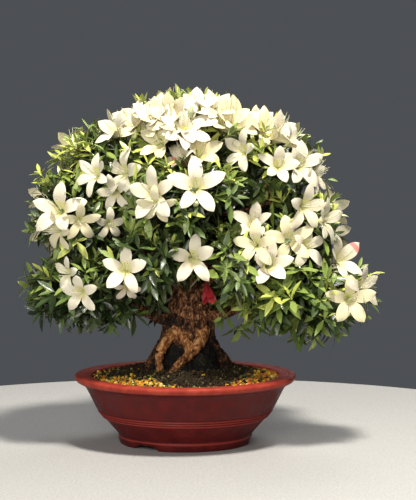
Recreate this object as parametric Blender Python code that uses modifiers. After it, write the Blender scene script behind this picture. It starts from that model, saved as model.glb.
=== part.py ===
"""A white-flowered azalea bonsai in a round red clay pot, as separate solids: the pot, its soil, the
trunk with its surface roots, the boughs, and the masses of leaves and blossoms that the boughs carry.

Metres, +Z up. The plant is laid out about the pot's axis, with the table at Z = 0 and the front towards
-Y, and is then moved as a whole so that the origin is under the middle of its outline.
"""

import math
import random

import bmesh
import bpy
import numpy as np
from mathutils import Matrix, Quaternion, Vector
from mathutils.bvhtree import BVHTree

# Clearance between pieces that touch
GAP = 0.0003

# Pot: radii and heights
POT_STEPS = 32
RIM_RADIUS = 0.158
RIM_TOP = 0.0972
MOUTH_RADIUS = 0.134
WALL_TOP = (0.141, 0.079)
WALL_KINK = (0.1255, 0.048)
WALL_FOOT = (0.0965, 0.0125)
FOOT_RADIUS = 0.0937
FOOT_INNER_RADIUS = 0.083
FOOT_HEIGHT = 0.0105
FLOOR_UNDER = 0.0085
FLOOR_TOP = 0.018
DRAIN_RADIUS = 0.011
WALL_THICKNESS = 0.0092
BAND_TOP = 0.0470
BAND_PITCH = 0.0036
BAND_COUNT = 3
BAND_PROUD = 0.0012
ARCH_COUNT = 3
ARCH_FIRST_DEG = -126
ARCH_HALF_WIDTH = 0.0215
ARCH_SLANT = 0.004
ARCH_HEIGHT = 0.006

# Soil: its level at the rim, and the mound that the trunk stands on
SOIL_EDGE = 0.0915
SOIL_TOP = 0.1037
MOUND_RADIUS = 0.074

# Trunk: height, lean across, lean back and radius at each station
TRUNK_SIDES = 20
TRUNK_FOOT = SOIL_TOP + GAP
TRUNK_STATIONS = (
    (TRUNK_FOOT, 0.004, -0.002, 0.0440),
    (0.110, 0.004, -0.002, 0.0435),
    (0.120, 0.004, -0.002, 0.0425),
    (0.131, 0.003, -0.002, 0.0405),
    (0.142, 0.003, -0.001, 0.0380),
    (0.154, 0.003, 0.000, 0.0360),
    (0.170, 0.005, 0.000, 0.0362),
    (0.187, 0.006, 0.000, 0.0330),
    (0.203, 0.006, 0.000, 0.0265),
    (0.222, 0.002, 0.000, 0.0215),
    (0.250, -0.001, 0.000, 0.0185),
    (0.290, -0.006, 0.002, 0.0160),
    (0.335, -0.002, 0.004, 0.0130),
    (0.384, 0.004, 0.002, 0.0085),
)
FLARE_TOP = 0.160
FLARE_POWER = 1.5
ROOT_SPREAD = 0.28
# Surface roots: bearing in degrees, anticlockwise from the right, and how far each stands out of the
# trunk's foot
SURFACE_ROOTS = (
    (0, 0.023),
    (-45, 0.012),
    (-105, 0.010),
    (-150, 0.019),
    (180, 0.020),
    (120, 0.017),
    (75, 0.014),
    (30, 0.018),
)
# The thick old roots that arch down the front: the points of each, with its radius
ARCHED_ROOTS = (
    (
        (-0.012, -0.026, 0.160, 0.011),
        (-0.026, -0.038, 0.148, 0.010),
        (-0.036, -0.046, 0.126, 0.008),
        (-0.034, -0.050, 0.1045, 0.006),
    ),
    (
        (-0.010, -0.028, 0.158, 0.011),
        (0.002, -0.042, 0.148, 0.010),
        (0.008, -0.047, 0.132, 0.009),
        (-0.008, -0.054, 0.118, 0.007),
        (-0.020, -0.058, 0.1045, 0.005),
    ),
    (
        (0.026, -0.022, 0.160, 0.011),
        (0.020, -0.040, 0.144, 0.010),
        (0.006, -0.048, 0.130, 0.009),
    ),
)

# Crown: each mass of leaves keeps to its own space, by centre and half sizes
MASSES = {
    "crown_top": ((0.006, -0.005, 0.434), (0.104, 0.088, 0.060)),
    "upper_left": ((-0.102, -0.010, 0.392), (0.090, 0.082, 0.068)),
    "upper_right": ((0.110, -0.005, 0.394), (0.086, 0.082, 0.066)),
    "upper_back": ((0.010, 0.104, 0.384), (0.100, 0.074, 0.064)),
    "front": ((-0.004, -0.090, 0.346), (0.088, 0.062, 0.058)),
    "left": ((-0.154, -0.025, 0.326), (0.072, 0.076, 0.068)),
    "right": ((0.156, -0.025, 0.314), (0.080, 0.078, 0.064)),
    "back": ((0.000, 0.138, 0.302), (0.076, 0.070, 0.056)),
    "back_left": ((-0.112, 0.092, 0.294), (0.082, 0.080, 0.062)),
    "back_right": ((0.116, 0.094, 0.294), (0.084, 0.080, 0.062)),
    "low_left": ((-0.136, -0.035, 0.218), (0.094, 0.076, 0.054)),
    "low_right": ((0.162, -0.035, 0.216), (0.106, 0.080, 0.058)),
    "low_front": ((-0.050, -0.082, 0.270), (0.066, 0.056, 0.042)),
    "front_right": ((0.070, -0.080, 0.262), (0.064, 0.058, 0.050)),
    "low_back": ((0.005, 0.126, 0.215), (0.104, 0.074, 0.052)),
}

# Boughs: the mass that each carries, the height at which it leaves the trunk, its radius there and at
# its tip, and how far it rises above the straight line to its mass
BOUGHS = {
    "upper_left": (0.318, 0.0085, 0.0045, 0.004),
    "upper_right": (0.302, 0.0090, 0.0045, -0.004),
    "upper_back": (0.334, 0.0080, 0.0045, 0.004),
    "front": (0.292, 0.0080, 0.0045, -0.004),
    "left": (0.258, 0.0090, 0.0045, 0.002),
    "right": (0.250, 0.0095, 0.0050, -0.006),
    "back": (0.276, 0.0080, 0.0045, 0.002),
    "back_left": (0.238, 0.0090, 0.0045, 0.002),
    "back_right": (0.226, 0.0095, 0.0045, 0.002),
    "low_left": (0.174, 0.0120, 0.0055, -0.010),
    "low_right": (0.180, 0.0135, 0.0060, -0.008),
    "low_back": (0.196, 0.0110, 0.0050, -0.004),
    "low_front": (0.216, 0.0080, 0.0040, -0.002),
    "front_right": (0.208, 0.0085, 0.0040, -0.004),
}
BOUGH_POINTS = 6
BOUGH_ENTRY = 0.80

# Growth inside a mass
SEED = 7
CORE_SHARE = 0.68
CORE_ROUGHNESS = 0.08
CORE_CLEARANCE = 0.005
CORE_MEETING = (0.85, 1.15)
CORE_LEAST = 0.2
CORE_STEP = 0.03
STEM_GAP = 0.0004
STEM_LEAD = 0.008
STEM_TIP_RADIUS = 0.003
TWIG_RADIUS = 0.0013
TWIG_LEAD = 0.003
TWIG_BALANCE = 0.35
FORK_SHARE = 0.45
TUFTS_PER_MASS = 10
TUFT_LEAVES = 5
TUFT_SPACING = 0.038
TUFT_DEPTH = (0.84, 0.97)
TUFT_OUT = 0.75
TUFT_RISE = 0.35
TUFT_STRAY = 0.3
TUFT_HUB = 0.0018
TUFT_TRIES = 1200
LEAF_LENGTH = (0.034, 0.043)
LEAF_SHARES = (1.0, 0.85, 0.7)
# A leaf's outline and the notch before the next: along, across and lift in shares of the leaf's length
LEAF_ARM = ((0.50, -0.17, 0.18), (1.0, 0.0, 0.30), (0.50, 0.17, 0.18), (0.09, 0.065, 0.0))
LIMB_CLEARANCE = 0.0025
CELL_CLEARANCE = 0.0005
WELD_DISTANCES = (0.00012, 0.00006, 0.00002, 0.000005, 0.000001)

# Blossoms: a petal's outline and the notch before the next, in shares of the blossom's radius
PETALS = 5
PETAL_ARM = ((0.94, -0.20, 0.0), (0.94, 0.20, 0.0), (0.30, 0.22, -0.12))
BLOSSOM_SHIFTS = (0.0, 0.006, -0.006, 0.012, 0.018, -0.012, 0.024)
THROAT_DEPTH = 0.30
FUNNEL_DEPTH = 0.66
FACING_LEAST = 0.25
FRONT_VIEW = Vector((0.032, -2.4, 0.4285))
SIGHT_SHARES = (0.90, 1.08)
SIGHT_STEPS = 180
# The blossoms that show from the front: place across and height where each shows in the plane of the
# trunk, width, and the way it faces, as degrees to the right of the front and degrees up
FRONT_BLOSSOMS = (
    (-0.106, 0.447, 0.054, -60, 30),
    (-0.079, 0.461, 0.058, -35, 45),
    (-0.051, 0.467, 0.056, -30, 50),
    (-0.023, 0.466, 0.064, -15, 35),
    (0.000, 0.447, 0.056, 10, 30),
    (0.016, 0.482, 0.054, 0, 60),
    (0.044, 0.480, 0.054, 25, 60),
    (0.076, 0.460, 0.060, 15, 40),
    (0.104, 0.456, 0.054, 25, 50),
    (0.140, 0.444, 0.058, 50, 40),
    (0.159, 0.430, 0.048, 70, 25),
    (0.024, 0.416, 0.054, 15, 30),
    (-0.011, 0.410, 0.050, -50, 40),
    (0.076, 0.416, 0.050, -40, 15),
    (0.133, 0.394, 0.048, 5, 10),
    (0.168, 0.396, 0.058, 30, 15),
    (0.188, 0.380, 0.050, 65, 5),
    (0.017, 0.365, 0.066, 5, 15),
    (-0.049, 0.354, 0.062, -25, 10),
    (-0.042, 0.334, 0.048, -10, -30),
    (-0.093, 0.384, 0.052, -55, 0),
    (-0.134, 0.384, 0.048, -40, 20),
    (-0.099, 0.354, 0.044, -30, -15),
    (-0.184, 0.332, 0.060, -20, 15),
    (-0.186, 0.298, 0.050, -50, -15),
    (-0.149, 0.313, 0.050, 10, -15),
    (-0.106, 0.308, 0.042, 25, -20),
    (-0.087, 0.246, 0.058, -5, 10),
    (-0.172, 0.240, 0.046, -50, 5),
    (-0.152, 0.211, 0.050, -25, -10),
    (-0.084, 0.216, 0.040, 0, -35),
    (0.011, 0.262, 0.060, 0, 5),
    (0.098, 0.282, 0.052, -15, 10),
    (0.121, 0.254, 0.058, 10, 15),
    (0.149, 0.288, 0.058, 5, 10),
    (0.178, 0.280, 0.050, 35, 15),
    (0.096, 0.316, 0.052, -10, 35),
    (0.178, 0.334, 0.052, 40, -10),
    (0.205, 0.316, 0.052, 70, 5),
    (0.228, 0.262, 0.056, 45, 25),
    (0.236, 0.200, 0.056, 15, -5),
    (0.258, 0.216, 0.052, 70, 5),
)
# The rest, round the sides and back, are dealt out by rule
HIDDEN_BLOSSOMS = 40
HIDDEN_SPACING = 0.058
HIDDEN_WIDTH = (0.048, 0.060)
HIDDEN_TRIES = 6000
HIDDEN_RISE = 0.35
HIDDEN_STRAY = 0.35

RED_CLAY = (0.30, 0.045, 0.030)
DARK_SOIL = (0.060, 0.045, 0.025)
BARK = (0.100, 0.048, 0.022)
LEAF_GREEN = (0.060, 0.130, 0.030)
PETAL_WHITE = (0.880, 0.830, 0.660)


def clear_scene():
    for old in list(bpy.data.objects):
        bpy.data.objects.remove(old, do_unlink=True)


def make_collection(name, shown):
    made = bpy.data.collections.new(name)
    bpy.context.scene.collection.children.link(made)
    made.hide_render = not shown
    return made


def make_material(name, colour, roughness):
    material = bpy.data.materials.new(name)
    material.use_nodes = True
    shader = material.node_tree.nodes["Principled BSDF"]
    shader.inputs["Base Color"].default_value = (*colour, 1.0)
    shader.inputs["Roughness"].default_value = roughness
    shader.inputs["Metallic"].default_value = 0.0
    return material


def add_mesh(name, bm, collection, material):
    """Makes an object of the bmesh, and frees the bmesh."""
    mesh = bpy.data.meshes.new(name)
    bm.to_mesh(mesh)
    bm.free()
    mesh.materials.append(material)
    made = bpy.data.objects.new(name, mesh)
    collection.objects.link(made)
    return made


def apply_modifiers(obj):
    """Swaps the object's mesh for its evaluated one, closed up, and drops the modifiers."""
    bpy.context.view_layer.update()
    graph = bpy.context.evaluated_depsgraph_get()
    mesh = bpy.data.meshes.new_from_object(obj.evaluated_get(graph))
    obj.modifiers.clear()
    obj.data = mesh
    return obj


def boolean(obj, operation, operand, solver="EXACT"):
    """Adds a Boolean with an object or a whole collection, and applies it."""
    modifier = obj.modifiers.new(operation.title(), "BOOLEAN")
    modifier.operation = operation
    modifier.solver = solver
    if isinstance(operand, bpy.types.Collection):
        modifier.operand_type = "COLLECTION"
        modifier.collection = operand
    else:
        modifier.object = operand
    return apply_modifiers(obj)


def turned(name, profile, steps, closed, collection, material):
    """A Screw of a profile of (radius, height) points. The profile runs down the outer side."""
    bm = bmesh.new()
    points = [bm.verts.new((radius, 0, height)) for radius, height in profile]
    ends = points[1:] + points[:1] if closed else points[1:]
    for first, second in zip(points, ends):
        bm.edges.new((first, second))
    made = add_mesh(name, bm, collection, material)
    screw = made.modifiers.new("Screw", "SCREW")
    screw.steps = screw.render_steps = steps
    screw.use_merge_vertices = True
    screw.merge_threshold = 0.00001
    apply_modifiers(made)
    made.data.shade_smooth()
    return made


def tube(name, points, radii, sides_step, collection, material):
    """A curve with a bevel that tapers by its points' radii, made a closed mesh."""
    curve = bpy.data.curves.new(name, "CURVE")
    curve.dimensions = "3D"
    curve.bevel_depth = 1.0
    curve.bevel_resolution = sides_step
    curve.use_fill_caps = True
    spline = curve.splines.new("POLY")
    spline.points.add(len(points) - 1)
    for point, place, radius in zip(spline.points, points, radii):
        point.co = (*place, 1.0)
        point.radius = radius
    line = bpy.data.objects.new(name + "_line", curve)
    collection.objects.link(line)
    bpy.context.view_layer.update()
    mesh = bpy.data.meshes.new_from_object(line.evaluated_get(bpy.context.evaluated_depsgraph_get()))
    bpy.data.objects.remove(line, do_unlink=True)
    bm = bmesh.new()
    bm.from_mesh(mesh)
    bpy.data.meshes.remove(mesh)
    bmesh.ops.remove_doubles(bm, verts=bm.verts, dist=0.00001)
    return add_mesh(name, bm, collection, material)


def wall_radius(height):
    """The pot's outer radius at a height, between its foot and its rim, without the bands."""
    low, high = (WALL_FOOT, WALL_KINK) if height < WALL_KINK[1] else (WALL_KINK, WALL_TOP)
    share = (height - low[1]) / (high[1] - low[1])
    return low[0] + share * (high[0] - low[0])


def build_pot(parts, cutters, material):
    """The pot: a turned wall with a flat rim, three fine ridges and a drain hole, on a foot ring with
    three arches."""
    bands = []
    for k in range(2 * BAND_COUNT + 1):
        height = BAND_TOP - BAND_PITCH * k / 2
        bands.append((wall_radius(height) + BAND_PROUD * (k % 2), height))
    profile = [
        (MOUTH_RADIUS + 0.002, RIM_TOP - 0.001),
        (RIM_RADIUS - 0.0015, RIM_TOP),
        (RIM_RADIUS, RIM_TOP - 0.003),
        (RIM_RADIUS - 0.002, RIM_TOP - 0.008),
        (WALL_TOP[0] + 0.002, WALL_TOP[1] + 0.005),
        WALL_TOP,
        *bands,
        WALL_FOOT,
        (FOOT_RADIUS + 0.0010, FOOT_HEIGHT),
        (FOOT_RADIUS, 0.0),
        (FOOT_INNER_RADIUS, 0.0),
        (FOOT_INNER_RADIUS - 0.0015, FLOOR_UNDER),
        (DRAIN_RADIUS, FLOOR_UNDER),
        (DRAIN_RADIUS, FLOOR_TOP),
        (wall_radius(FLOOR_TOP) - WALL_THICKNESS - 0.003, FLOOR_TOP),
        (wall_radius(FLOOR_TOP + 0.003) - WALL_THICKNESS, FLOOR_TOP + 0.003),
        (WALL_KINK[0] - WALL_THICKNESS, WALL_KINK[1]),
        (WALL_TOP[0] - WALL_THICKNESS, WALL_TOP[1]),
        (MOUTH_RADIUS, RIM_TOP - 0.003),
    ]
    pot = turned("pot", profile, POT_STEPS, True, parts, material)
    for index in range(ARCH_COUNT):
        bearing = math.radians(ARCH_FIRST_DEG + index * 360 / ARCH_COUNT)
        bm = bmesh.new()
        bmesh.ops.create_cube(bm, size=1.0)
        for corner in bm.verts:
            lifted = corner.co.z > 0
            corner.co.x *= 0.03
            corner.co.y *= 2 * (ARCH_HALF_WIDTH - (ARCH_SLANT if lifted else 0))
            corner.co.z = ARCH_HEIGHT if lifted else -ARCH_HEIGHT
        arch = add_mesh(f"arch_{index}", bm, cutters, material)
        arch.location = (FOOT_RADIUS * math.cos(bearing), FOOT_RADIUS * math.sin(bearing), 0)
        arch.rotation_euler.z = bearing
        boolean(pot, "DIFFERENCE", arch)
    return pot


def build_soil(parts, material):
    """The soil: it fills the pot to just under the rim, and rises to a flat-topped mound round the
    trunk."""
    inner = WALL_THICKNESS + GAP
    profile = [
        (0.0, SOIL_TOP),
        (MOUND_RADIUS, SOIL_TOP),
        (MOUND_RADIUS + 0.020, SOIL_TOP - 0.007),
        (MOUTH_RADIUS - 0.010, SOIL_EDGE),
        (MOUTH_RADIUS - 0.0012, SOIL_EDGE - 0.001),
        (WALL_TOP[0] - inner, WALL_TOP[1]),
        (WALL_KINK[0] - inner, WALL_KINK[1]),
        (wall_radius(FLOOR_TOP + 0.003) - inner - GAP, FLOOR_TOP + 0.003 + GAP),
        (wall_radius(FLOOR_TOP) - inner - 0.003, FLOOR_TOP + GAP),
        (0.0, FLOOR_TOP + GAP),
    ]
    return turned("soil", profile, POT_STEPS, False, parts, material)


def trunk_at(height):
    """The trunk's centre and radius at a height, without its roots."""
    heights = [station[0] for station in TRUNK_STATIONS]
    across, back, radius = (np.interp(height, heights, [s[i] for s in TRUNK_STATIONS]) for i in (1, 2, 3))
    return Vector((float(across), float(back), height)), float(radius)


def flare(height, bearing):
    """How far the surface roots stand out of the trunk at a height and a bearing in radians."""
    if height >= FLARE_TOP:
        return 0.0
    share = ((FLARE_TOP - height) / (FLARE_TOP - TRUNK_FOOT)) ** FLARE_POWER
    out = 0.0
    for root_bearing, reach in SURFACE_ROOTS:
        turn = (bearing - math.radians(root_bearing) + math.pi) % (2 * math.pi) - math.pi
        out += reach * math.exp(-((turn / ROOT_SPREAD) ** 2))
    return share * out


def loft(bm, rings):
    """Joins rings of points, each as long as the next, into one closed surface with flat ends."""
    rows = [[bm.verts.new(point) for point in ring] for ring in rings]
    for lower, upper in zip(rows, rows[1:]):
        for k in range(len(lower)):
            after = (k + 1) % len(lower)
            bm.faces.new((lower[k], lower[after], upper[after], upper[k]))
    bm.faces.new(list(reversed(rows[0])))
    bm.faces.new(rows[-1])


def trunk_mesh(swell):
    """The trunk as a loft through its stations. A swell above 0 makes the larger copy that boughs are
    cut by."""
    bm = bmesh.new()
    rings = []
    for index, (height, *_) in enumerate(TRUNK_STATIONS):
        centre, radius = trunk_at(height)
        ends = (0, len(TRUNK_STATIONS) - 1)
        lift = swell * (ends.index(index) * 2 - 1) if index in ends else 0
        ring = []
        for k in range(TRUNK_SIDES):
            bearing = 2 * math.pi * k / TRUNK_SIDES
            out = radius + flare(height, bearing) + swell
            ring.append(centre + Vector((out * math.cos(bearing), out * math.sin(bearing), lift)))
        rings.append(ring)
    loft(bm, rings)
    return bm


def build_trunk(parts, cutters, material):
    """The trunk, with the arched roots at its front fused on and cut off level with its foot."""
    trunk = add_mesh("trunk", trunk_mesh(0.0), parts, material)
    for index, root in enumerate(ARCHED_ROOTS):
        points, radii = [row[:3] for row in root], [row[3] for row in root]
        arched = tube(f"arched_root_{index}", points, radii, 1, cutters, material)
        boolean(trunk, "UNION", arched)
    foot = bmesh.new()
    bmesh.ops.create_cube(foot, size=1.0)
    below = add_mesh("below_ground", foot, cutters, material)
    below.scale = (0.4, 0.4, 0.1)
    below.location.z = TRUNK_FOOT - 0.05
    boolean(trunk, "DIFFERENCE", below)
    return trunk


def mass_centre(name):
    return Vector(MASSES[name][0])


def bough_route(name):
    """Points and radii of the bough that carries a mass: from inside the trunk to where it enters the
    mass."""
    height, thick, thin, rise = BOUGHS[name]
    start, _ = trunk_at(height)
    centre = mass_centre(name)
    half = Vector(MASSES[name][1])
    back = start - centre
    reach = math.sqrt(sum((b / h) ** 2 for b, h in zip(back, half)))
    end = centre + back * (BOUGH_ENTRY / reach)
    sideways = Vector((-(end - start).y, (end - start).x, 0)).normalized()
    rng = random.Random(f"bough {name} {SEED}")
    sway = rng.choice((-1, 1)) * rng.uniform(0.05, 0.09) * (end - start).length
    points, radii = [], []
    for k in range(BOUGH_POINTS):
        share = k / (BOUGH_POINTS - 1)
        bend = math.sin(math.pi * share)
        twist = math.sin(2 * math.pi * share)
        points.append(start.lerp(end, share) + Vector((0, 0, rise * bend)) + sideways * sway * twist)
        radii.append(thick + (thin - thick) * share**0.8)
    return points, radii


def build_boughs(parts, swollen_limbs, swollen_trunk, material):
    """One tapering limb for each mass but the top one, cut off 0.3 mm clear of the trunk. A slightly
    larger copy of each joins the trunk's, for the masses to be cut by."""
    for name in BOUGHS:
        points, radii = bough_route(name)
        bough = tube(f"bough_{name}", points, radii, 1, parts, material)
        boolean(bough, "DIFFERENCE", swollen_trunk)
        keep_one_body(bough)
        way = (points[-1] - points[-2]).normalized()
        swollen_points = points[:-1] + [points[-1] + way * GAP]
        swollen_radii = [radius + GAP for radius in radii]
        tube(f"swollen_{name}", swollen_points, swollen_radii, 1, swollen_limbs, material)


def limb_lines():
    """Every limb as rows of (point, radius), for keeping leaves off them."""
    trunk_line = [trunk_at(station[0]) for station in TRUNK_STATIONS]
    return [trunk_line] + [list(zip(*bough_route(name))) for name in BOUGHS]


def limb_arrays():
    """The limbs' stretches as arrays of start, run, start radius and end radius."""
    starts, ends, first, last = [], [], [], []
    for line in limb_lines():
        for (p, r), (q, s) in zip(line, line[1:]):
            starts.append(p)
            ends.append(q)
            first.append(r)
            last.append(s)
    starts = np.array(starts)
    return starts, np.array(ends) - starts, np.array(first), np.array(last)


class Space:
    """The space that one mass keeps to: its side of the plane between it and each other mass, and clear
    of limbs."""

    def __init__(self, name, limbs):
        self.centre = np.array(MASSES[name][0])
        self.half = np.array(MASSES[name][1])
        self.limbs = limbs
        normals, offsets = [], []
        own = np.mean(self.half) ** 2
        for other, (centre, half) in MASSES.items():
            if other == name:
                continue
            away = np.array(centre) - self.centre
            apart = np.linalg.norm(away)
            normals.append(away / apart)
            offsets.append((apart**2 + own - np.mean(half) ** 2) / (2 * apart) - CELL_CLEARANCE)
        self.normals, self.offsets = np.array(normals), np.array(offsets)

    def past_planes(self, points):
        """For each plane, how far the points reach past it."""
        return ((np.asarray(points) - self.centre) @ self.normals.T).max(axis=0) - self.offsets

    def to_limbs(self, points):
        """The least distance from the points to any limb's surface."""
        starts, runs, first, last = self.limbs
        points = np.asarray(points)[:, None, :]
        share = np.clip(((points - starts) * runs).sum(-1) / (runs**2).sum(-1), 0, 1)
        away = np.linalg.norm(points - starts - runs * share[..., None], axis=-1)
        return float((away - (first + (last - first) * share)).min())

    def holds(self, points, limb_clearance=LIMB_CLEARANCE):
        return self.past_planes(points).max() <= 0 and self.to_limbs(points) > limb_clearance

    def nudge(self, points):
        """The move that brings the points back inside every plane."""
        move = np.zeros(3)
        for _ in range(12):
            past = self.past_planes(np.asarray(points) + move)
            worst = int(past.argmax())
            if past[worst] <= 0:
                break
            move -= self.normals[worst] * (past[worst] + CELL_CLEARANCE)
        return move


def depth_in_crown(point, apart_from=None):
    """The least depth of a point in any mass, 0 at its centre and 1 on its surface."""
    depths = [
        float(np.linalg.norm((np.asarray(point) - centre) / np.array(half)))
        for name, (centre, half) in MASSES.items()
        if name != apart_from
    ]
    return min(depths)


def owner(point):
    """The mass whose space holds a point."""
    def power(name):
        centre, half = MASSES[name]
        return float(np.sum((np.asarray(point) - centre) ** 2)) - np.mean(half) ** 2
    return min(MASSES, key=power)


def toward(turn_deg, up_deg):
    """A direction by degrees to the right of the front and degrees up."""
    turn, up = math.radians(turn_deg), math.radians(up_deg)
    return Vector((math.sin(turn) * math.cos(up), -math.cos(turn) * math.cos(up), math.sin(up)))


def on_the_front(across, height):
    """Where the line of sight through a point of the trunk's plane first meets the crown, or passes
    nearest to it."""
    sight = Vector((across, 0, height)) - FRONT_VIEW
    nearest, least = None, math.inf
    for step in range(SIGHT_STEPS):
        share = SIGHT_SHARES[0] + (SIGHT_SHARES[1] - SIGHT_SHARES[0]) * step / SIGHT_STEPS
        point = FRONT_VIEW + sight * share
        depth = depth_in_crown(point)
        if depth < least:
            nearest, least = point, depth
        if depth <= 1.0:
            break
    return nearest


def surface_normal(name, point):
    centre, half = MASSES[name]
    return Vector([(p - c) / h**2 for p, c, h in zip(point, centre, half)]).normalized()


def random_direction(rng):
    height = rng.uniform(-1, 1)
    bearing = rng.uniform(0, 2 * math.pi)
    flat = math.sqrt(1 - height * height)
    return Vector((flat * math.cos(bearing), flat * math.sin(bearing), height))


def all_blossoms():
    """Every blossom as (mass, place, facing, radius): those of the front, and those dealt out
    elsewhere."""
    blossoms = []
    for across, height, width, turn_deg, up_deg in FRONT_BLOSSOMS:
        place = on_the_front(across, height)
        blossoms.append((owner(place), place, toward(turn_deg, up_deg), width / 2))
    rng = random.Random(SEED)
    dealt = 0
    for _ in range(HIDDEN_TRIES):
        if dealt == HIDDEN_BLOSSOMS:
            break
        name = rng.choice(list(MASSES))
        way = random_direction(rng)
        centre, half = MASSES[name]
        place = Vector([c + w * h for c, w, h in zip(centre, way, half)])
        hidden = place.y > 0.02 and way.y > -0.2 and way.z > -0.35
        if not hidden or owner(place) != name or depth_in_crown(place) < 0.99:
            continue
        if min((place - other[1]).length for other in blossoms) < HIDDEN_SPACING:
            continue
        facing = surface_normal(name, place) + Vector((0, 0, HIDDEN_RISE))
        facing += HIDDEN_STRAY * random_direction(rng)
        blossoms.append((name, place, facing.normalized(), rng.uniform(*HIDDEN_WIDTH) / 2))
        dealt += 1
    return blossoms


def basis(along, across_hint):
    """A rotation whose Z runs along, with X as near as can be to the hint."""
    along = along.normalized()
    across = across_hint - along * across_hint.dot(along)
    if across.length < 1e-6:
        across = along.orthogonal()
    across.normalize()
    return Matrix((across, along.cross(across), along)).transposed()


def star_shape(star, start, base_radius):
    """One closed surface: leaves or petals that spread as a star from one point, drawn in behind to a
    three-sided neck, and from there the straight twig that carries them, down to its start."""
    count = len(star.reaches)
    turn = basis(star.facing, Vector((math.cos(star.spin), 0.1, math.sin(star.spin))))
    bm = bmesh.new()
    rim = []
    for index, reach in enumerate(star.reaches):
        arm_turn = Matrix.Rotation(2 * math.pi * index / count, 3, "Z")
        rim += [bm.verts.new(star.place + turn @ (arm_turn @ Vector(point) * reach)) for point in star.arm]
    neck_centre = star.neck()
    bend = star.facing.rotation_difference(neck_centre - start)
    neck_turn = Quaternion().slerp(bend, 0.5).to_matrix() @ turn
    base_turn = bend.to_matrix() @ turn
    neck, base = [], []
    for index in range(3):
        bearing = 2 * math.pi * (index + 0.5) / 3
        out = Vector((math.cos(bearing), math.sin(bearing), 0))
        neck.append(bm.verts.new(neck_centre + neck_turn @ out * TWIG_RADIUS))
        base.append(bm.verts.new(start + base_turn @ out * base_radius))
    front = bm.verts.new(star.place + turn @ Vector((0, 0, star.front)))
    sectors = [3 * k // len(rim) for k in range(len(rim))]
    for k, sector in enumerate(sectors):
        after = (k + 1) % len(rim)
        bm.faces.new((front, rim[k], rim[after]))
        bm.faces.new((rim[after], rim[k], neck[sector]))
        if sectors[after] != sector:
            bm.faces.new((rim[after], neck[sector], neck[sectors[after]]))
    for index in range(3):
        after = (index + 1) % 3
        bm.faces.new((neck[after], neck[index], base[index]))
        bm.faces.new((neck[after], base[index], base[after]))
    bm.faces.new(reversed(base))
    return bm


class Star:
    """The place, facing and reach of one blossom or tuft of leaves."""

    def __init__(self, place, facing, spin, reaches, petals):
        self.place, self.facing, self.spin, self.reaches = place, facing, spin, reaches
        self.kind = "petals" if petals else "leaves"
        self.arm = PETAL_ARM if petals else LEAF_ARM
        self.front = -THROAT_DEPTH * reaches[0] if petals else TUFT_HUB
        self.back = FUNNEL_DEPTH * reaches[0] if petals else 2 * TUFT_HUB

    def neck(self):
        return self.place - self.facing * self.back

    def shape(self, start=None, base_radius=TWIG_RADIUS):
        """The star's surface, with its twig from a start, or else with the first few millimetres of
        it."""
        return star_shape(self, start or self.neck() - self.facing * TWIG_LEAD, base_radius)


def probes(bm):
    """Points all over a shape: its corners, and the middles of its edges and faces."""
    places = [corner.co.copy() for corner in bm.verts]
    places += [(edge.verts[0].co + edge.verts[1].co) / 2 for edge in bm.edges]
    return places + [face.calc_center_median() for face in bm.faces]


def grow(root, stars, trees):
    """Grows a twig to each star, from the root or from a fork on an earlier twig, so that the way back
    to the root stays short and the twig crosses no other star. Returns the twigs as (star, start,
    number of the twig it forks from, or -1)."""
    forks, twigs = [(root, 0.0, -1)], []
    for index in sorted(range(len(stars)), key=lambda i: (stars[i].neck() - root).length):
        tip = stars[index].neck()
        others = trees[:index] + trees[index + 1:]

        def cost(fork):
            crossed = any(tree.ray_cast(tip, fork[0] - tip, (fork[0] - tip).length)[0] for tree in others)
            turned_back = (tip - fork[0]).dot(stars[index].facing) < 0
            return (tip - fork[0]).length + TWIG_BALANCE * fork[1] + crossed + turned_back

        start, way, parent = min(forks, key=cost)
        twigs.append((stars[index], start, parent))
        forks.append((start.lerp(tip, FORK_SHARE), way + FORK_SHARE * (tip - start).length, len(twigs) - 1))
    return twigs


def twig_loads(twigs):
    """How many tips each twig carries, its own counted."""
    loads = [1] * len(twigs)
    for index in range(len(twigs) - 1, -1, -1):
        parent = twigs[index][2]
        if parent >= 0:
            loads[parent] += loads[index]
    return loads


def core_shape(name, space, rng):
    """The dense heart of a mass: a rough lump, fuller where the mass meets its neighbours, that keeps
    to the mass's space."""
    bm = bmesh.new()
    bmesh.ops.create_icosphere(bm, subdivisions=2, radius=1.0)
    for corner in bm.verts:
        out = np.array(corner.co) * space.half
        inside = np.interp(depth_in_crown(space.centre + out, name), CORE_MEETING, (1, 0))
        share = CORE_SHARE + inside * (1 - CORE_SHARE)
        share *= 1 + rng.uniform(-CORE_ROUGHNESS, CORE_ROUGHNESS)
        while share > CORE_LEAST and not space.holds([space.centre + out * share], CORE_CLEARANCE):
            share -= CORE_STEP
        corner.co = Vector(space.centre + out * share)
    return bm


def shells(bm):
    """The mesh's faces by connected shell, the largest shell last."""
    left, found = set(bm.faces), []
    while left:
        shell, front = set(), [next(iter(left))]
        while front:
            face = front.pop()
            if face in left:
                left.discard(face)
                shell.add(face)
                front.extend(other for edge in face.edges for other in edge.link_faces)
        found.append(shell)
    return sorted(found, key=len)


def keep_one_body(obj):
    """Drops the loose scraps and sealed hollows that a Boolean leaves, and welds corners that all but
    meet."""
    bm = bmesh.new()
    bm.from_mesh(obj.data)
    scraps = [face for shell in shells(bm)[:-1] for face in shell]
    if scraps:
        bmesh.ops.delete(bm, geom=scraps, context="FACES")
    for distance in WELD_DISTANCES:
        trial = bm.copy()
        bmesh.ops.dissolve_degenerate(trial, edges=trial.edges, dist=distance)
        if all(len(edge.link_faces) == 2 for edge in trial.edges) and len(shells(trial)) == 1:
            bm.free()
            bm = trial
            break
        trial.free()
    bm.to_mesh(obj.data)
    bm.free()


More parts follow.
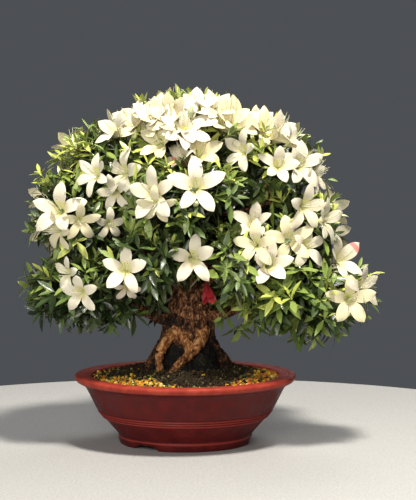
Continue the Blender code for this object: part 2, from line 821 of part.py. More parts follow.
def mass_root(name):
    """Where a mass's stem starts, just off its bough's tip or the trunk's top, and that limb's way and
    radius."""
    if name in BOUGHS:
        points, radii = bough_route(name)
        way = (points[-1] - points[-2]).normalized()
        return points[-1] + way * STEM_GAP, way, radii[-1]
    top, radius = trunk_at(TRUNK_STATIONS[-1][0])
    return top + Vector((0, 0, STEM_GAP)), Vector((0, 0, 1)), radius


def fits(space, star, trees):
    """Whether a star keeps to the mass's space and touches nothing that is there already. If it fits,
    it joins them."""
    shape = star.shape()
    held = space.holds(probes(shape))
    tree = BVHTree.FromBMesh(shape) if held else None
    shape.free()
    if not held or any(tree.overlap(other) for other in trees):
        return False
    trees.append(tree)
    return True


def fit_blossoms(space, blossoms, trees, rng):
    """Places each blossom inside the mass's space, a little out or in from its place where another is
    in the way."""
    fitted = []
    for place, facing, radius in blossoms:
        spin = rng.uniform(0, 2 * math.pi)
        outward = (place - Vector(space.centre)).normalized()
        if facing.dot(outward) < FACING_LEAST:
            facing = (facing + outward * (FACING_LEAST + 0.3)).normalized()
        for share, shift in ((share, shift) for share in (1.0, 0.9, 0.8) for shift in BLOSSOM_SHIFTS):
            star = Star(place - facing * shift, facing, spin, [radius * share] * PETALS, True)
            trial = star.shape()
            star.place = star.place + Vector(space.nudge(probes(trial)))
            trial.free()
            if fits(space, star, trees):
                fitted.append(star)
                break
    return fitted


def fit_tufts(name, space, trees, rng):
    """Places tufts of leaves near the surface of a mass, apart from each other and from its blossoms."""
    fitted = []
    for _ in range(TUFT_TRIES):
        if len(fitted) == TUFTS_PER_MASS:
            break
        way = random_direction(rng)
        depth = rng.uniform(*TUFT_DEPTH)
        place = Vector([c + w * h * depth for c, w, h in zip(space.centre, way, space.half)])
        if depth_in_crown(place, name) < TUFT_OUT or not space.holds([place], TUFT_HUB * 2):
            continue
        if any((place - other.place).length < TUFT_SPACING for other in fitted):
            continue
        axis = surface_normal(name, place) + Vector((0, 0, TUFT_RISE)) + TUFT_STRAY * random_direction(rng)
        spin = rng.uniform(0, 2 * math.pi)
        lengths = [rng.uniform(*LEAF_LENGTH) for _ in range(TUFT_LEAVES)]
        for share in LEAF_SHARES:
            star = Star(place, axis.normalized(), spin, [length * share for length in lengths], False)
            if fits(space, star, trees):
                fitted.append(star)
                break
    return fitted


def build_mass(name, parts, limbs, swollen_limbs, blossoms, materials):
    """One mass: a stem, the twigs that branch from it, a dense heart, and the blossoms and tufts of
    leaves that the twigs carry, all fused."""
    rng = random.Random(f"{name} {SEED}")
    space = Space(name, limbs)
    start, way, limb_radius = mass_root(name)
    hub = Vector(space.centre)
    core = core_shape(name, space, rng)
    trees = [BVHTree.FromBMesh(core)]
    stars = fit_blossoms(space, blossoms, trees, rng)
    stars += fit_tufts(name, space, trees, rng)
    twigs = grow(hub, stars, trees[1:])
    growth = make_collection("growth_" + name, False)
    pieces = [add_mesh(f"{name}_core", core, growth, materials["leaves"])]
    for (star, from_place, _), load in zip(twigs, twig_loads(twigs)):
        shape = star.shape(from_place, TWIG_RADIUS * math.sqrt(load))
        pieces.append(add_mesh(f"{name}_star_{len(pieces)}", shape, growth, materials[star.kind]))
    for piece in pieces:
        piece.hide_render = True
    stem_points = [start, start + way * STEM_LEAD, hub]
    stem_radii = [limb_radius, limb_radius, STEM_TIP_RADIUS]
    mass = tube("mass_" + name, stem_points, stem_radii, 1, parts, materials["bark"])
    boolean(mass, "UNION", growth, "MANIFOLD")
    boolean(mass, "DIFFERENCE", swollen_limbs, "MANIFOLD")
    for piece in pieces:
        bpy.data.objects.remove(piece, do_unlink=True)
    bpy.data.collections.remove(growth)
    keep_one_body(mass)
    return mass


def settle_on_origin(parts):
    """Hangs every part on one empty, and moves it so that the origin is under the middle of the plant's
    outline."""
    bpy.context.view_layer.update()
    corner_points = np.array([obj.matrix_world @ Vector(c) for obj in parts.objects for c in obj.bound_box])
    middle = (corner_points.min(axis=0) + corner_points.max(axis=0)) / 2
    plant = bpy.data.objects.new("azalea_bonsai", None)
    parts.objects.link(plant)
    for obj in list(parts.objects):
        if obj is not plant:
            obj.parent = plant
    plant.location = (-middle[0], -middle[1], 0)


def main():
    clear_scene()
    parts = make_collection("azalea bonsai", True)
    cutters = make_collection("cutters", False)
    clay = make_material("red clay", RED_CLAY, 0.45)
    soil = make_material("granular soil", DARK_SOIL, 0.95)
    bark = make_material("bark", BARK, 0.85)
    leaves = make_material("leaves", LEAF_GREEN, 0.45)
    petals = make_material("petals", PETAL_WHITE, 0.60)
    build_pot(parts, cutters, clay)
    build_soil(parts, soil)
    build_trunk(parts, cutters, bark)
    swollen_limbs = make_collection("swollen limbs", False)
    swollen_trunk = add_mesh("swollen_trunk", trunk_mesh(GAP), swollen_limbs, bark)
    build_boughs(parts, swollen_limbs, swollen_trunk, bark)
    limbs = limb_arrays()
    blossoms = all_blossoms()
    materials = {"bark": bark, "leaves": leaves, "petals": petals}
    for name in MASSES:
        own = [blossom[1:] for blossom in blossoms if blossom[0] == name]
        build_mass(name, parts, limbs, swollen_limbs, own, materials)
    for cutter in list(cutters.objects) + list(swollen_limbs.objects):
        cutter.hide_render = True
        cutter.display_type = "WIRE"
    settle_on_origin(parts)


main()
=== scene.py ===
"""The looks of a white-flowered azalea bonsai: its turned clay pot, the granules and moss of its soil, the
bark of its trunk and boughs, and a crown of twigs that carry leaf rosettes, buds and open blossoms.

Metres, +Z up. Every shape is laid out about the pot's axis and moved with it to its place in the frame.
"""

import math
import random
from typing import NamedTuple

import bpy
import numpy as np
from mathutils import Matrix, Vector, noise


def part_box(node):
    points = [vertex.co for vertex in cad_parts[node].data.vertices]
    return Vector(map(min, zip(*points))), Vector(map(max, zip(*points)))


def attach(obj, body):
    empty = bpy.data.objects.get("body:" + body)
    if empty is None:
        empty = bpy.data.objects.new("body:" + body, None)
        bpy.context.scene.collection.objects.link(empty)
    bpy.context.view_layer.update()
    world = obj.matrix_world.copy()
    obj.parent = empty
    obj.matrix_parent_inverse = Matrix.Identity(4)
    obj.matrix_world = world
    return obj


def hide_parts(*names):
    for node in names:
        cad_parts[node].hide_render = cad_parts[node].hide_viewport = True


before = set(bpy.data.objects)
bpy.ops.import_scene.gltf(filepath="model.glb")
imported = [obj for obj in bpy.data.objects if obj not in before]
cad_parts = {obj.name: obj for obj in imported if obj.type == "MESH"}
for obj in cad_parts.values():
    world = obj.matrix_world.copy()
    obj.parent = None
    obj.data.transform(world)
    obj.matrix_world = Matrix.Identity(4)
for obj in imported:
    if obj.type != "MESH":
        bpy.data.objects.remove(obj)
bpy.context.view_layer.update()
pot_low, pot_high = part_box("pot")
AXIS = np.array([(pot_low[0] + pot_high[0]) / 2, (pot_low[1] + pot_high[1]) / 2, 0.0])

SEED = 7

# Camera: the eye before the pot's axis, the tilt down, and the lens for a 36 mm film
EYE = (0.0323, -2.4, 0.4285)
TILT_DOWN = 0.0645
LENS_MM = 121.75

# Lights: place, size, power and colour of each, where all aim, and the colour of the dark sky round them
LIGHTS = {
    "key": ((0.42, -0.98, 2.32), 0.40, 86, (1.0, 0.95, 0.87)),
    "front": ((-0.4, -2.3, 0.9), 1.2, 29, (1.0, 0.96, 0.90)),
    "fill": ((-1.6, -1.6, 0.9), 1.8, 12, (0.96, 0.97, 1.0)),
    "back": ((0.6, 1.6, 1.8), 1.2, 20, (1.0, 1.0, 1.0)),
}
LIGHTS_AIM = (0, 0, 0.25)
SKY = (0.075, 0.080, 0.088, 1)

# Table top: steps round it, its radius, and the heights of its top and its underside
TABLE_STEPS = 160
TABLE_RADIUS = 0.64
TABLE_TOP = -0.0005
TABLE_UNDER = -0.02

# Pot: radii and heights, and pairs of the two. The bands are the fine ridges round its wall, and the arches
# are in its foot
POT_STEPS = 240
RIM_RADIUS = 0.158
RIM_TOP = 0.0972
MOUTH_RADIUS = 0.134
WALL_TOP = (0.141, 0.079)
WALL_KINK = (0.1255, 0.048)
WALL_FOOT = (0.0965, 0.0125)
FOOT_RADIUS = 0.0937
FOOT_INNER_RADIUS = 0.083
FOOT_HEIGHT = 0.0105
FLOOR_UNDER = 0.0085
FLOOR_TOP = 0.018
DRAIN_RADIUS = 0.011
WALL_THICKNESS = 0.0092
BAND_TOP = 0.0470
BAND_PITCH = 0.0036
BAND_COUNT = 3
BAND_PROUD = 0.0024
# Width of the painted highlight along the crests
CREST_HIGHLIGHT_WIDTH = 0.0007
ARCH_COUNT = 3
ARCH_FIRST_DEG = -126
ARCH_HALF_WIDTH = 0.0215
ARCH_HEIGHT = 0.006
# Colours of its clay, painted lighter and oranger at the rim as light falls on it, with a painted highlight
# on the crests of its ridges, and the heights between which the wall's colour turns into the rim's
CLAY_DARK = (0.070, 0.0060, 0.0065)
CLAY_RED = (0.112, 0.0100, 0.0085)
CLAY_SMEAR = (0.060, 0.007, 0.006)
CLAY_RIM_LIT = (0.290, 0.029, 0.018)
CLAY_RIM_LIT_PALE = (0.390, 0.056, 0.032)
CLAY_CREST_HIGHLIGHT = (0.260, 0.030, 0.022)
RIM_LIGHT_FROM = 0.0867
RIM_LIGHT_TO = 0.0897

# Soil: heights at its edge and on its mound, and what lies on it
SOIL_EDGE = 0.0915
SOIL_TOP = 0.1037
MOUND_RADIUS = 0.074
SOIL_STEPS = 160
SOIL_RINGS = 64
# Its top, as distances from the pot's axis and the heights there
SOIL_RADII = (0, MOUND_RADIUS, MOUND_RADIUS + 0.020, MOUTH_RADIUS - 0.010, MOUTH_RADIUS)
SOIL_HEIGHTS = (SOIL_TOP, SOIL_TOP, SOIL_TOP - 0.007, SOIL_EDGE, SOIL_EDGE - 0.001)
# What it leaves free at the axis, the mouth, the wall and the floor, and how far in its lowest edge is
SOIL_FROM_AXIS = 0.0005
SOIL_FROM_MOUTH = 0.0012
SOIL_FROM_WALL = 0.0006
SOIL_FROM_FLOOR = 0.0005
SOIL_LOWEST_IN = 0.004
# Its lumps: their height, how fine the coarse and the fine ones are, and the share of the fine ones
LUMP_HEIGHT = 0.0016
LUMP_SCALE = 90
FINE_LUMP_SCALE = 260
FINE_LUMPS = 0.5
GRANULES = 4600
GRANULE_SIZE = (0.0017, 0.0035)
GRANULES_FROM = 0.045
# Pale granules lie beyond a distance from the pot's axis, and come nearer it in two directions: the
# direction and its spread in degrees, and how much nearer
PALE_FROM = 0.120
PALE_BLEND = 0.022
PALE_DIRECTIONS = ((-132, 36, 0.034), (-18, 38, 0.032))
PALE_STRAY = (-0.06, 0.44)
# How much lighter granules are in patches, how fine these are, and the range that the distance gives
PALE_PATCHES = 0.40
PATCH_SCALE = 45
PALE_RANGE = (-0.3, 0.80)
# How light a granule has to be for each finish, by its number: cream, yellow, ochre, olive, and else dark
LIGHT_STEPS = ((1.30, 0), (0.85, 1), (0.60, 2), (0.30, 4))
GRANULE_ORANGE = 3
GRANULE_DARK = 5
# The share of orange ones among the paler, and what is added to it in the last direction above
ORANGE_SHARE = 0.14
ORANGE_MORE = 0.25
# How high a granule lies in shares of its size, how uneven it is, and how long, wide and high
GRANULE_LIES = (0.0, 0.9)
GRANULE_UNEVEN = (0.72, 1.2)
GRANULE_FORM = (1.0, 0.9, 0.75)
# Root hairs and moss: middle and spread of where they are, and ranges of their measures
ROOT_HAIRS = 55
HAIR_RADIUS = 0.00022
HAIR_BEARING = (-75, 42)
HAIR_REACH = (0.050, 0.112)
HAIR_LENGTH = (0.006, 0.020)
HAIR_ARCH = (0.001, 0.006)
HAIR_LIFT = 0.0012
HAIR_CURL = 0.9
HAIR_POINTS = 6
MOSS_BLADES = 1200
MOSS_REACH = (0.072, 0.014)
MOSS_LENGTH = (0.002, 0.0045)

# Trunk: height, lean across, lean back and radius at each station
TRUNK_SIDES = 72
TRUNK_RINGS = 60
TRUNK_FOOT = SOIL_TOP + 0.0003
TRUNK_STATIONS = (
    (TRUNK_FOOT, 0.004, -0.002, 0.0440),
    (0.110, 0.004, -0.002, 0.0435),
    (0.120, 0.004, -0.002, 0.0425),
    (0.131, 0.003, -0.002, 0.0405),
    (0.142, 0.003, -0.001, 0.0380),
    (0.154, 0.003, 0.000, 0.0360),
    (0.170, 0.005, 0.000, 0.0362),
    (0.187, 0.006, 0.000, 0.0330),
    (0.203, 0.006, 0.000, 0.0265),
    (0.222, 0.002, 0.000, 0.0215),
    (0.250, -0.001, 0.000, 0.0185),
    (0.290, -0.006, 0.002, 0.0160),
    (0.335, -0.002, 0.004, 0.0130),
    (0.384, 0.004, 0.002, 0.0085),
)
# Surface roots: where their flare ends, how fast it grows downward, how wide they are in radians, and the
# bearing in degrees and reach of each
FLARE_TOP = 0.160
FLARE_POWER = 1.5
ROOT_SPREAD = 0.28
SURFACE_ROOTS = (
    (0, 0.023),
    (-45, 0.012),
    (-105, 0.010),
    (-150, 0.019),
    (180, 0.020),
    (120, 0.017),
    (75, 0.014),
    (30, 0.018),
)
# Arched roots: places and radii along each, and the share of those radii that the bark is laid over
ARCHED_ROOTS = (
    (
        (-0.012, -0.026, 0.160, 0.011),
        (-0.026, -0.038, 0.148, 0.010),
        (-0.036, -0.046, 0.126, 0.008),
        (-0.034, -0.050, 0.1045, 0.006),
    ),
    (
        (-0.010, -0.028, 0.158, 0.011),
        (0.002, -0.042, 0.148, 0.010),
        (0.008, -0.047, 0.132, 0.009),
        (-0.008, -0.054, 0.118, 0.007),
        (-0.020, -0.058, 0.1045, 0.005),
    ),
    (
        (0.026, -0.022, 0.160, 0.011),
        (0.020, -0.040, 0.144, 0.010),
        (0.006, -0.048, 0.130, 0.009),
    ),
)
ARCH_SLIM = 0.74
# Sides of the arched roots, of the branches that show and of the boughs, and steps from point to point of
# the first two and of the last
LIMB_SIDES = (14, 10, 12)
LIMB_STEPS = 6
BOUGH_STEPS = 5
# The radius at which the end of a limb is shut
SHUT = 0.0001
# The skin of the wood: the size of its cells, how deep its furrows are on the thickest stretch, its radius
# there, and the share of that depth on the thinnest
BARK_VOXEL = 0.0014
BARK_DEPTH = 0.0058
THICKEST = 0.036
THINNEST_SHARE = 0.10
# The furrows grow from this share at the soil to the whole over this height, and reach this far below it
FOOT_SHARE = 0.2
FOOT_FADE = 0.006
FOOT_BELOW = 0.0005
# The relief of bark: how fine its furrows are across and along the limb and their share, then the same for
# its lumps, its knots and its grain
FURROW_SCALE = (150, 150, 56)
FURROW_SHARE = 0.46
LUMPS_SCALE = 70
LUMPS_SHARE = 0.26
KNOTS_SCALE = 230
KNOTS_SHARE = 0.32
FINE_SCALE = 520
FINE_SHARE = 0.26
# Within this distance of an arched root the furrows are shallower, in this share
ARCH_SMOOTH_REACH = 0.003
ARCH_SMOOTH = 0.35
# Painted shade in the hollow under the low left bough: its middle and its half sizes
HOLLOW_SHADE = (np.array((-0.018, -0.030, 0.172)), np.array((0.019, 0.022, 0.010)))
# Painted shade low down on the bark, under the crown: where it ends, over how much height, and how dark
LOW_SHADE_TOP = 0.184
LOW_SHADE_FADE = 0.036
PAINTED_SHADE_DEPTH = 0.38
# The arched roots are left without that painted shade, and it comes back over this distance from them
UNSHADED_ARCH_REACH = 0.004
# Painted shade on the branches that show in the opening: how dark, and how far from their skin it reaches
SHOWING_SHADE = 0.7
SHOWING_REACH = 0.002
# Red bark is on the arched roots to this distance from them, and below one height, and mossy bark in front
# below another: degrees round the trunk, and the least distance from the pot's axis
RED_BARK_REACH = 0.0018
RED_BARK_TOP = 0.140
MOSSY_TOP = 0.142
MOSSY_BEARINGS = (-150, -22)
MOSSY_FROM = 0.025
# How uneven the edges of both are, and how fine the blotches of them
RED_BARK_UNEVEN = 0.014
MOSSY_UNEVEN = 0.010
BLOTCH_SCALE = 60

# Crown: each mass of leaves keeps to its own space, by centre and half sizes
MASSES = {
    "crown_top": ((0.006, -0.005, 0.434), (0.104, 0.088, 0.060)),
    "upper_left": ((-0.102, -0.010, 0.392), (0.090, 0.082, 0.068)),
    "upper_right": ((0.110, -0.005, 0.394), (0.086, 0.082, 0.066)),
    "upper_back": ((0.010, 0.104, 0.384), (0.100, 0.074, 0.064)),
    "front": ((-0.004, -0.090, 0.346), (0.088, 0.062, 0.058)),
    "left": ((-0.154, -0.025, 0.326), (0.072, 0.076, 0.068)),
    "right": ((0.156, -0.025, 0.314), (0.080, 0.078, 0.064)),
    "back": ((0.000, 0.138, 0.302), (0.076, 0.070, 0.056)),
    "back_left": ((-0.112, 0.092, 0.294), (0.082, 0.080, 0.062)),
    "back_right": ((0.116, 0.094, 0.294), (0.084, 0.080, 0.062)),
    "low_left": ((-0.136, -0.035, 0.218), (0.094, 0.076, 0.054)),
    "low_right": ((0.162, -0.035, 0.216), (0.106, 0.080, 0.058)),
    "low_front": ((-0.050, -0.082, 0.270), (0.066, 0.056, 0.042)),
    "front_right": ((0.070, -0.080, 0.262), (0.064, 0.058, 0.050)),
    "low_back": ((0.005, 0.126, 0.215), (0.104, 0.074, 0.052)),
}

# Boughs: the mass that each carries, the height at which it leaves the trunk, its radius there and at
# its tip, and how far it rises above the straight line to its mass
BOUGHS = {
    "upper_left": (0.318, 0.0085, 0.0045, 0.004),
    "upper_right": (0.302, 0.0090, 0.0045, -0.004),
    "upper_back": (0.334, 0.0080, 0.0045, 0.004),
    "front": (0.292, 0.0080, 0.0045, -0.004),
    "left": (0.258, 0.0090, 0.0045, 0.002),
    "right": (0.250, 0.0095, 0.0050, -0.006),
    "back": (0.276, 0.0080, 0.0045, 0.002),
    "back_left": (0.238, 0.0090, 0.0045, 0.002),
    "back_right": (0.226, 0.0095, 0.0045, 0.002),
    "low_left": (0.174, 0.0120, 0.0055, -0.010),
    "low_right": (0.180, 0.0135, 0.0060, -0.008),
    "low_back": (0.196, 0.0110, 0.0050, -0.004),
    "low_front": (0.216, 0.0080, 0.0040, -0.002),
    "front_right": (0.208, 0.0085, 0.0040, -0.004),
}
# Branches that show in the crown's opening in front, from the trunk outward: places and radii
SHOWING_BRANCHES = (
    (
        (-0.002, 0.000, 0.300, 0.0052),
        (0.018, -0.024, 0.314, 0.0044),
        (0.040, -0.044, 0.323, 0.0034),
        (0.075, -0.054, 0.331, 0.0028),
        (0.109, -0.056, 0.340, 0.0024),
        (0.145, -0.050, 0.354, 0.0022),
        (0.172, -0.040, 0.352, 0.0017),
    ),
    (
        (0.109, -0.056, 0.340, 0.0024),
        (0.117, -0.062, 0.352, 0.0020),
        (0.112, -0.070, 0.370, 0.0016),
    ),
    (
        (0.040, -0.044, 0.323, 0.0026),
        (0.030, -0.054, 0.310, 0.0021),
        (0.036, -0.062, 0.292, 0.0016),
    ),
)
# Points along a bough, how deep it goes into its mass (1 on the surface), and how far it sways aside as a
# share of its length
BOUGH_POINTS = 6
BOUGH_ENTRY = 0.80
BOUGH_SWAY = (0.05, 0.09)
BOUGH_TAPER = 0.8
# Inside its mass it goes on to the middle, by way of a place this far along, and thins to these shares
INNER_SHARE = 0.55
INNER_THIN = (0.75, 0.5)

# Growth of the crown: how much the way back to the bough counts when a twig picks its fork, and how far
# along the twig its own fork is
TWIG_BALANCE = 0.35
FORK_SHARE = 0.45
# How much further off a fork counts where the twig would have to turn back, and how much a twig bends
TURN_BACK = 0.03
TWIG_BEND = 0.10
TWIG_RADIUS = 0.00055
TWIG_THICKEST = 0.0034
TWIG_TAPER = 0.8
CELL_CLEARANCE = 0.0003
# Layers of rosettes in each mass: depth from its middle (0) to its surface (1), spacing, and leaf length
LAYERS = (
    ((0.68, 0.89), 0.0166, (0.024, 0.035)),
    ((0.46, 0.62), 0.0190, (0.026, 0.037)),
    ((0.24, 0.42), 0.0280, (0.030, 0.042)),
)
# Masses whose leaves stay further in than their solid's reach
DRAWN_IN = {"upper_left": 0.82, "upper_right": 0.86, "right": 0.77, "low_left": 0.92, "left": 0.90}
# Masses with larger leaves than the rest
LARGER = {"low_right": 1.22, "low_left": 1.12, "front_right": 1.15, "low_front": 1.08}
# Masses that are dealt lighter or darker greens than the rest: partly their own green, partly painted light
# and shade for how much light reaches them
LIGHTER = {
    "upper_left": 0.3,
    "upper_right": -0.2,
    "front": -0.7,
    "left": -0.6,
    "right": -0.3,
    "low_left": -0.4,
    "low_right": 1.1,
    "low_front": -0.6,
    "front_right": 0.6,
}
# Masses that are at least this much lighter have lime leaves below YOUNG_ABOVE too, as painted highlights
LIME_FROM = 1.0
# Shoots that show one by one at the crown's edges and among the front blossoms, by mass: place, direction,
# leaf length and green
SHOOTS = {
    "low_right": (
        ((0.064, -0.060, 0.210), (-0.3, -0.6, 0.5), 0.031, 3),
        ((0.079, -0.060, 0.224), (0.1, -0.5, 0.9), 0.029, 2),
        ((0.056, -0.055, 0.183), (-0.8, -0.4, -0.35), 0.034, 2),
        ((0.076, -0.058, 0.172), (0.0, -0.2, -1.0), 0.036, 2),
        ((0.098, -0.060, 0.176), (0.5, -0.4, -0.8), 0.033, 2),
        ((0.128, -0.070, 0.178), (0.2, -0.6, -0.6), 0.032, 1),
        ((0.159, -0.060, 0.164), (-0.2, -0.3, -0.9), 0.034, 1),
        ((0.181, -0.055, 0.156), (0.0, -0.1, -1.0), 0.036, 3),
        ((0.208, -0.045, 0.162), (0.6, 0.0, -0.6), 0.034, 2),
        ((0.243, -0.030, 0.186), (0.9, -0.1, -0.3), 0.032, 3),
    ),
    "low_left": (
        ((-0.047, -0.060, 0.220), (0.5, -0.7, 0.2), 0.031, 2),
        ((-0.040, -0.055, 0.203), (0.6, -0.5, -0.5), 0.033, 1),
        ((-0.103, -0.060, 0.180), (0.1, -0.3, -1.0), 0.036, 1),
        ((-0.127, -0.060, 0.184), (-0.2, -0.3, -0.9), 0.036, 0),
        ((-0.160, -0.050, 0.186), (-0.5, -0.2, -0.8), 0.034, 1),
        ((-0.217, -0.030, 0.222), (-1.0, -0.1, 0.1), 0.034, 3),
        ((-0.205, -0.040, 0.204), (-0.9, -0.1, -0.5), 0.036, 1),
    ),
    "upper_left": (
        ((-0.172, -0.045, 0.408), (-0.3, -0.2, 1.0), 0.027, 4),
        ((-0.155, -0.050, 0.420), (0.1, -0.2, 1.0), 0.025, 4),
        ((-0.092, -0.078, 0.446), (-0.3, -0.4, 0.9), 0.027, 3),
        ((-0.074, -0.082, 0.412), (-0.2, -0.6, 0.7), 0.027, 4),
        ((-0.092, -0.086, 0.402), (-0.3, -0.6, 0.7), 0.028, 3),
    ),
    "left": (
        ((-0.198, -0.050, 0.380), (-0.6, -0.1, 0.8), 0.026, 4),
        ((-0.188, -0.055, 0.366), (-0.5, -0.4, 0.6), 0.028, 3),
        ((-0.206, -0.040, 0.306), (-1.0, -0.1, 0.0), 0.028, 2),
    ),
    "crown_top": (
        ((-0.006, -0.040, 0.488), (-0.3, 0.0, 1.0), 0.024, 4),
        ((0.026, -0.040, 0.486), (0.4, 0.0, 1.0), 0.026, 4),
        ((0.004, -0.030, 0.484), (0.1, 0.0, 1.0), 0.022, 4),
        ((0.007, -0.100, 0.460), (0.2, -0.5, 0.8), 0.026, 3),
        ((0.060, -0.105, 0.436), (0.5, -0.5, 0.7), 0.030, 2),
        ((-0.007, -0.105, 0.432), (-0.3, -0.5, 0.8), 0.028, 3),
        ((-0.047, -0.100, 0.424), (-0.2, -0.5, 0.8), 0.028, 3),
    ),
    "upper_right": (
        ((0.110, -0.078, 0.440), (0.2, -0.5, 0.8), 0.026, 4),
        ((0.106, -0.088, 0.412), (-0.2, -0.6, 0.7), 0.026, 4),
        ((0.196, -0.030, 0.374), (1.0, -0.1, 0.1), 0.032, 2),
        ((0.186, -0.040, 0.404), (0.8, -0.1, 0.5), 0.028, 3),
        ((0.086, -0.080, 0.404), (0.1, -0.6, 0.7), 0.028, 4),
    ),
    "front": (
        ((-0.050, -0.100, 0.394), (0.1, -0.6, 0.7), 0.026, 4),
        ((-0.068, -0.104, 0.376), (-0.1, -0.7, 0.6), 0.028, 3),
        ((-0.024, -0.108, 0.392), (0.1, -0.6, 0.7), 0.026, 4),
        ((0.050, -0.104, 0.388), (0.0, -0.6, 0.7), 0.027, 4),
        ((0.062, -0.112, 0.374), (0.2, -0.7, 0.5), 0.028, 3),
    ),
}
# Places where the front of the crown is open and the dark twigs behind show: place across, height, half
# width and half height in the plane of the trunk; and how far back they reach
OPENINGS = (
    (0.082, 0.324, 0.066, 0.022),
    (-0.134, 0.270, 0.042, 0.012),
    (-0.034, 0.304, 0.024, 0.019),
    (0.040, 0.256, 0.014, 0.046),
    (-0.052, 0.262, 0.016, 0.014),
    (0.120, 0.166, 0.050, 0.007),
)
OPENING_BACK = -0.010
# Leaves seen through an opening are dealt greens this many tones darker, as painted shade
OPENING_SHADE = 3
# The outer leaves stand in clusters: how fine these are, and the noise below which there is a gap
CLUSTER_SCALE = 27
CLUSTER_GAP = -0.17
# How much a mass swells in and out, the share of its outer rosettes that stand further out, and how much
SURFACE_SWELL = 0.16
LONG_SHOOTS = 0.07
LONG_SHOOT_REACH = 0.12
# Places tried for each layer, how deep one may lie in another mass (0 is its middle), and how near a limb
LAYER_TRIES = 2600
MEETING_DEPTH = 0.60
MEETING_DEPTH_OUTSIDE = 0.68
OFF_LIMBS = 0.006
# Under a mass, where it faces down more than this, this share of the rosettes is left out
UNDERSIDE = -0.55
UNDERSIDE_BARE = 0.45
# A rosette faces the way of the surface, but down in this share only, and is turned up and by chance
ROSETTE_DOWNWARD = 0.6
ROSETTE_RISE = 0.45
ROSETTE_STRAY = 0.21
# The green of a rosette, from 0, deep, to 4, lime: the middle one, and what is added to it for facing up,
# for each layer further in, in clumps, by chance, and for each metre above a height. Those for facing up,
# further in and higher up are painted light and shade; the clumps and chance are the leaves' own
TONE_MIDDLE = 1.82
TONE_UPWARD = 0.8
TONE_INWARD = -1.85
TONE_CLUMPS = 2.0
CLUMP_SCALE = 30
TONE_STRAY = 1.1
TONE_HIGHER = 4.0
TONE_HEIGHT = 0.32
# Leaves: where along it each has its corners, and kinds by half width, fold, droop and twist
LEAF_SHARES = (0.0, 0.24, 0.50, 0.78, 1.0)
LEAF_WIDTHS = (0.62, 1.0, 0.66)
LEAF_KINDS = (
    (0.148, 0.34, 0.10, 0.00),
    (0.165, 0.26, 0.18, 0.15),
    (0.138, 0.38, 0.04, -0.12),
    (0.172, 0.22, 0.26, 0.10),
    (0.156, 0.30, -0.06, -0.08),
    (0.140, 0.42, 0.14, 0.20),
)
# A rosette: its leaves, the turn from one to the next in radians, how far the first leans out from the axis
# and each next one more in degrees, and how much they hang
LEAVES_IN_ROSETTE = 7
GOLDEN_TURN = 2.39996
FIRST_LEAN = 28
NEXT_LEAN = 10.0
LEAN_STRAY = 9
LEAVES_HANG = 0.10
BEARING_STRAY = 0.2
# How far along the axis the first leaf starts, and how much further back each next one
FIRST_START = 0.004
NEXT_START = -0.0013
# The share of the first two leaves that are a tone lighter, and of all that are a tone darker
FIRST_LIGHTER = 0.6
LEAF_DARKER = 0.15
# The first leaf's size in shares of the leaf length, how much larger each next one is, and their range
FIRST_SIZE = 0.60
NEXT_SIZE = 0.066
SIZE_RANGE = (0.85, 1.12)
# Young rosettes, only above this height: their share, and how far their leaves lean out, as a share
YOUNG_ABOVE = 0.285
YOUNG_SHARE = 0.24
YOUNG_LEAN = 0.55
# They face up more than this
YOUNG_UPWARD = 0.25
BUDS_EACH = 3
BUD_LENGTH = (0.012, 0.020)
BUD_SHAPE = (0.10, 0.20, 0.26, 0.22, 0.12, 0.02)

# Blossoms: the eye that the front ones were laid out for
FRONT_VIEW = Vector((0.032, -2.4, 0.4285))
SIGHT_SHARES = (0.90, 1.08)
SIGHT_STEPS = 180
# Those that show from the front: place across and height where each shows in the plane of the trunk, width,
# and the way it faces, as degrees to the right of the front and degrees up
FRONT_BLOSSOMS = (
    (-0.106, 0.447, 0.058, -60, 30),
    (-0.079, 0.461, 0.062, -35, 38),
    (-0.051, 0.467, 0.062, -30, 42),
    (-0.023, 0.466, 0.070, -15, 32),
    (0.000, 0.447, 0.062, 10, 30),
    (0.016, 0.482, 0.060, 0, 46),
    (0.044, 0.480, 0.060, 25, 48),
    (0.076, 0.460, 0.068, 15, 34),
    (0.104, 0.456, 0.062, 25, 42),
    (0.140, 0.444, 0.064, 50, 40),
    (0.159, 0.430, 0.054, 70, 25),
    (0.024, 0.416, 0.062, 15, 30),
    (-0.011, 0.410, 0.058, -50, 40),
    (0.076, 0.416, 0.058, -40, 15),
    (0.133, 0.394, 0.056, 5, 10),
    (0.168, 0.396, 0.066, 30, 15),
    (0.188, 0.380, 0.056, 65, 5),
    (0.017, 0.365, 0.072, 5, 15),
    (-0.049, 0.354, 0.070, -25, 10),
    (-0.042, 0.334, 0.054, -10, -30),
    (-0.093, 0.384, 0.066, -45, 5),
    (-0.134, 0.384, 0.056, -40, 20),
    (-0.103, 0.354, 0.056, -30, -10),
    (-0.184, 0.332, 0.070, -20, 15),
    (-0.186, 0.298, 0.058, -50, -15),
    (-0.149, 0.313, 0.056, 10, -15),
    (-0.106, 0.308, 0.046, 25, -20),
    (-0.087, 0.246, 0.063, -5, 10),
    (-0.172, 0.240, 0.050, -50, 5),
    (-0.152, 0.211, 0.058, -25, -10),
    (-0.084, 0.216, 0.044, 0, -35),
    (0.011, 0.262, 0.067, 0, 5),
    (0.098, 0.282, 0.060, -15, 10),
    (0.121, 0.254, 0.066, 10, 15),
    (0.149, 0.288, 0.066, 5, 10),
    (0.178, 0.280, 0.056, 35, 15),
    (0.096, 0.316, 0.058, -10, 35),
    (0.174, 0.334, 0.068, 35, -5),
    (0.205, 0.316, 0.066, 60, 5),
    (0.226, 0.262, 0.068, 40, 20),
    (0.236, 0.202, 0.070, 10, 0),
    (0.258, 0.220, 0.064, 60, 10),
)
# How much further forward some of them stand than the crown's surface: their numbers, from 0
STANDS_OUT = {31: 0.024, 27: 0.010}
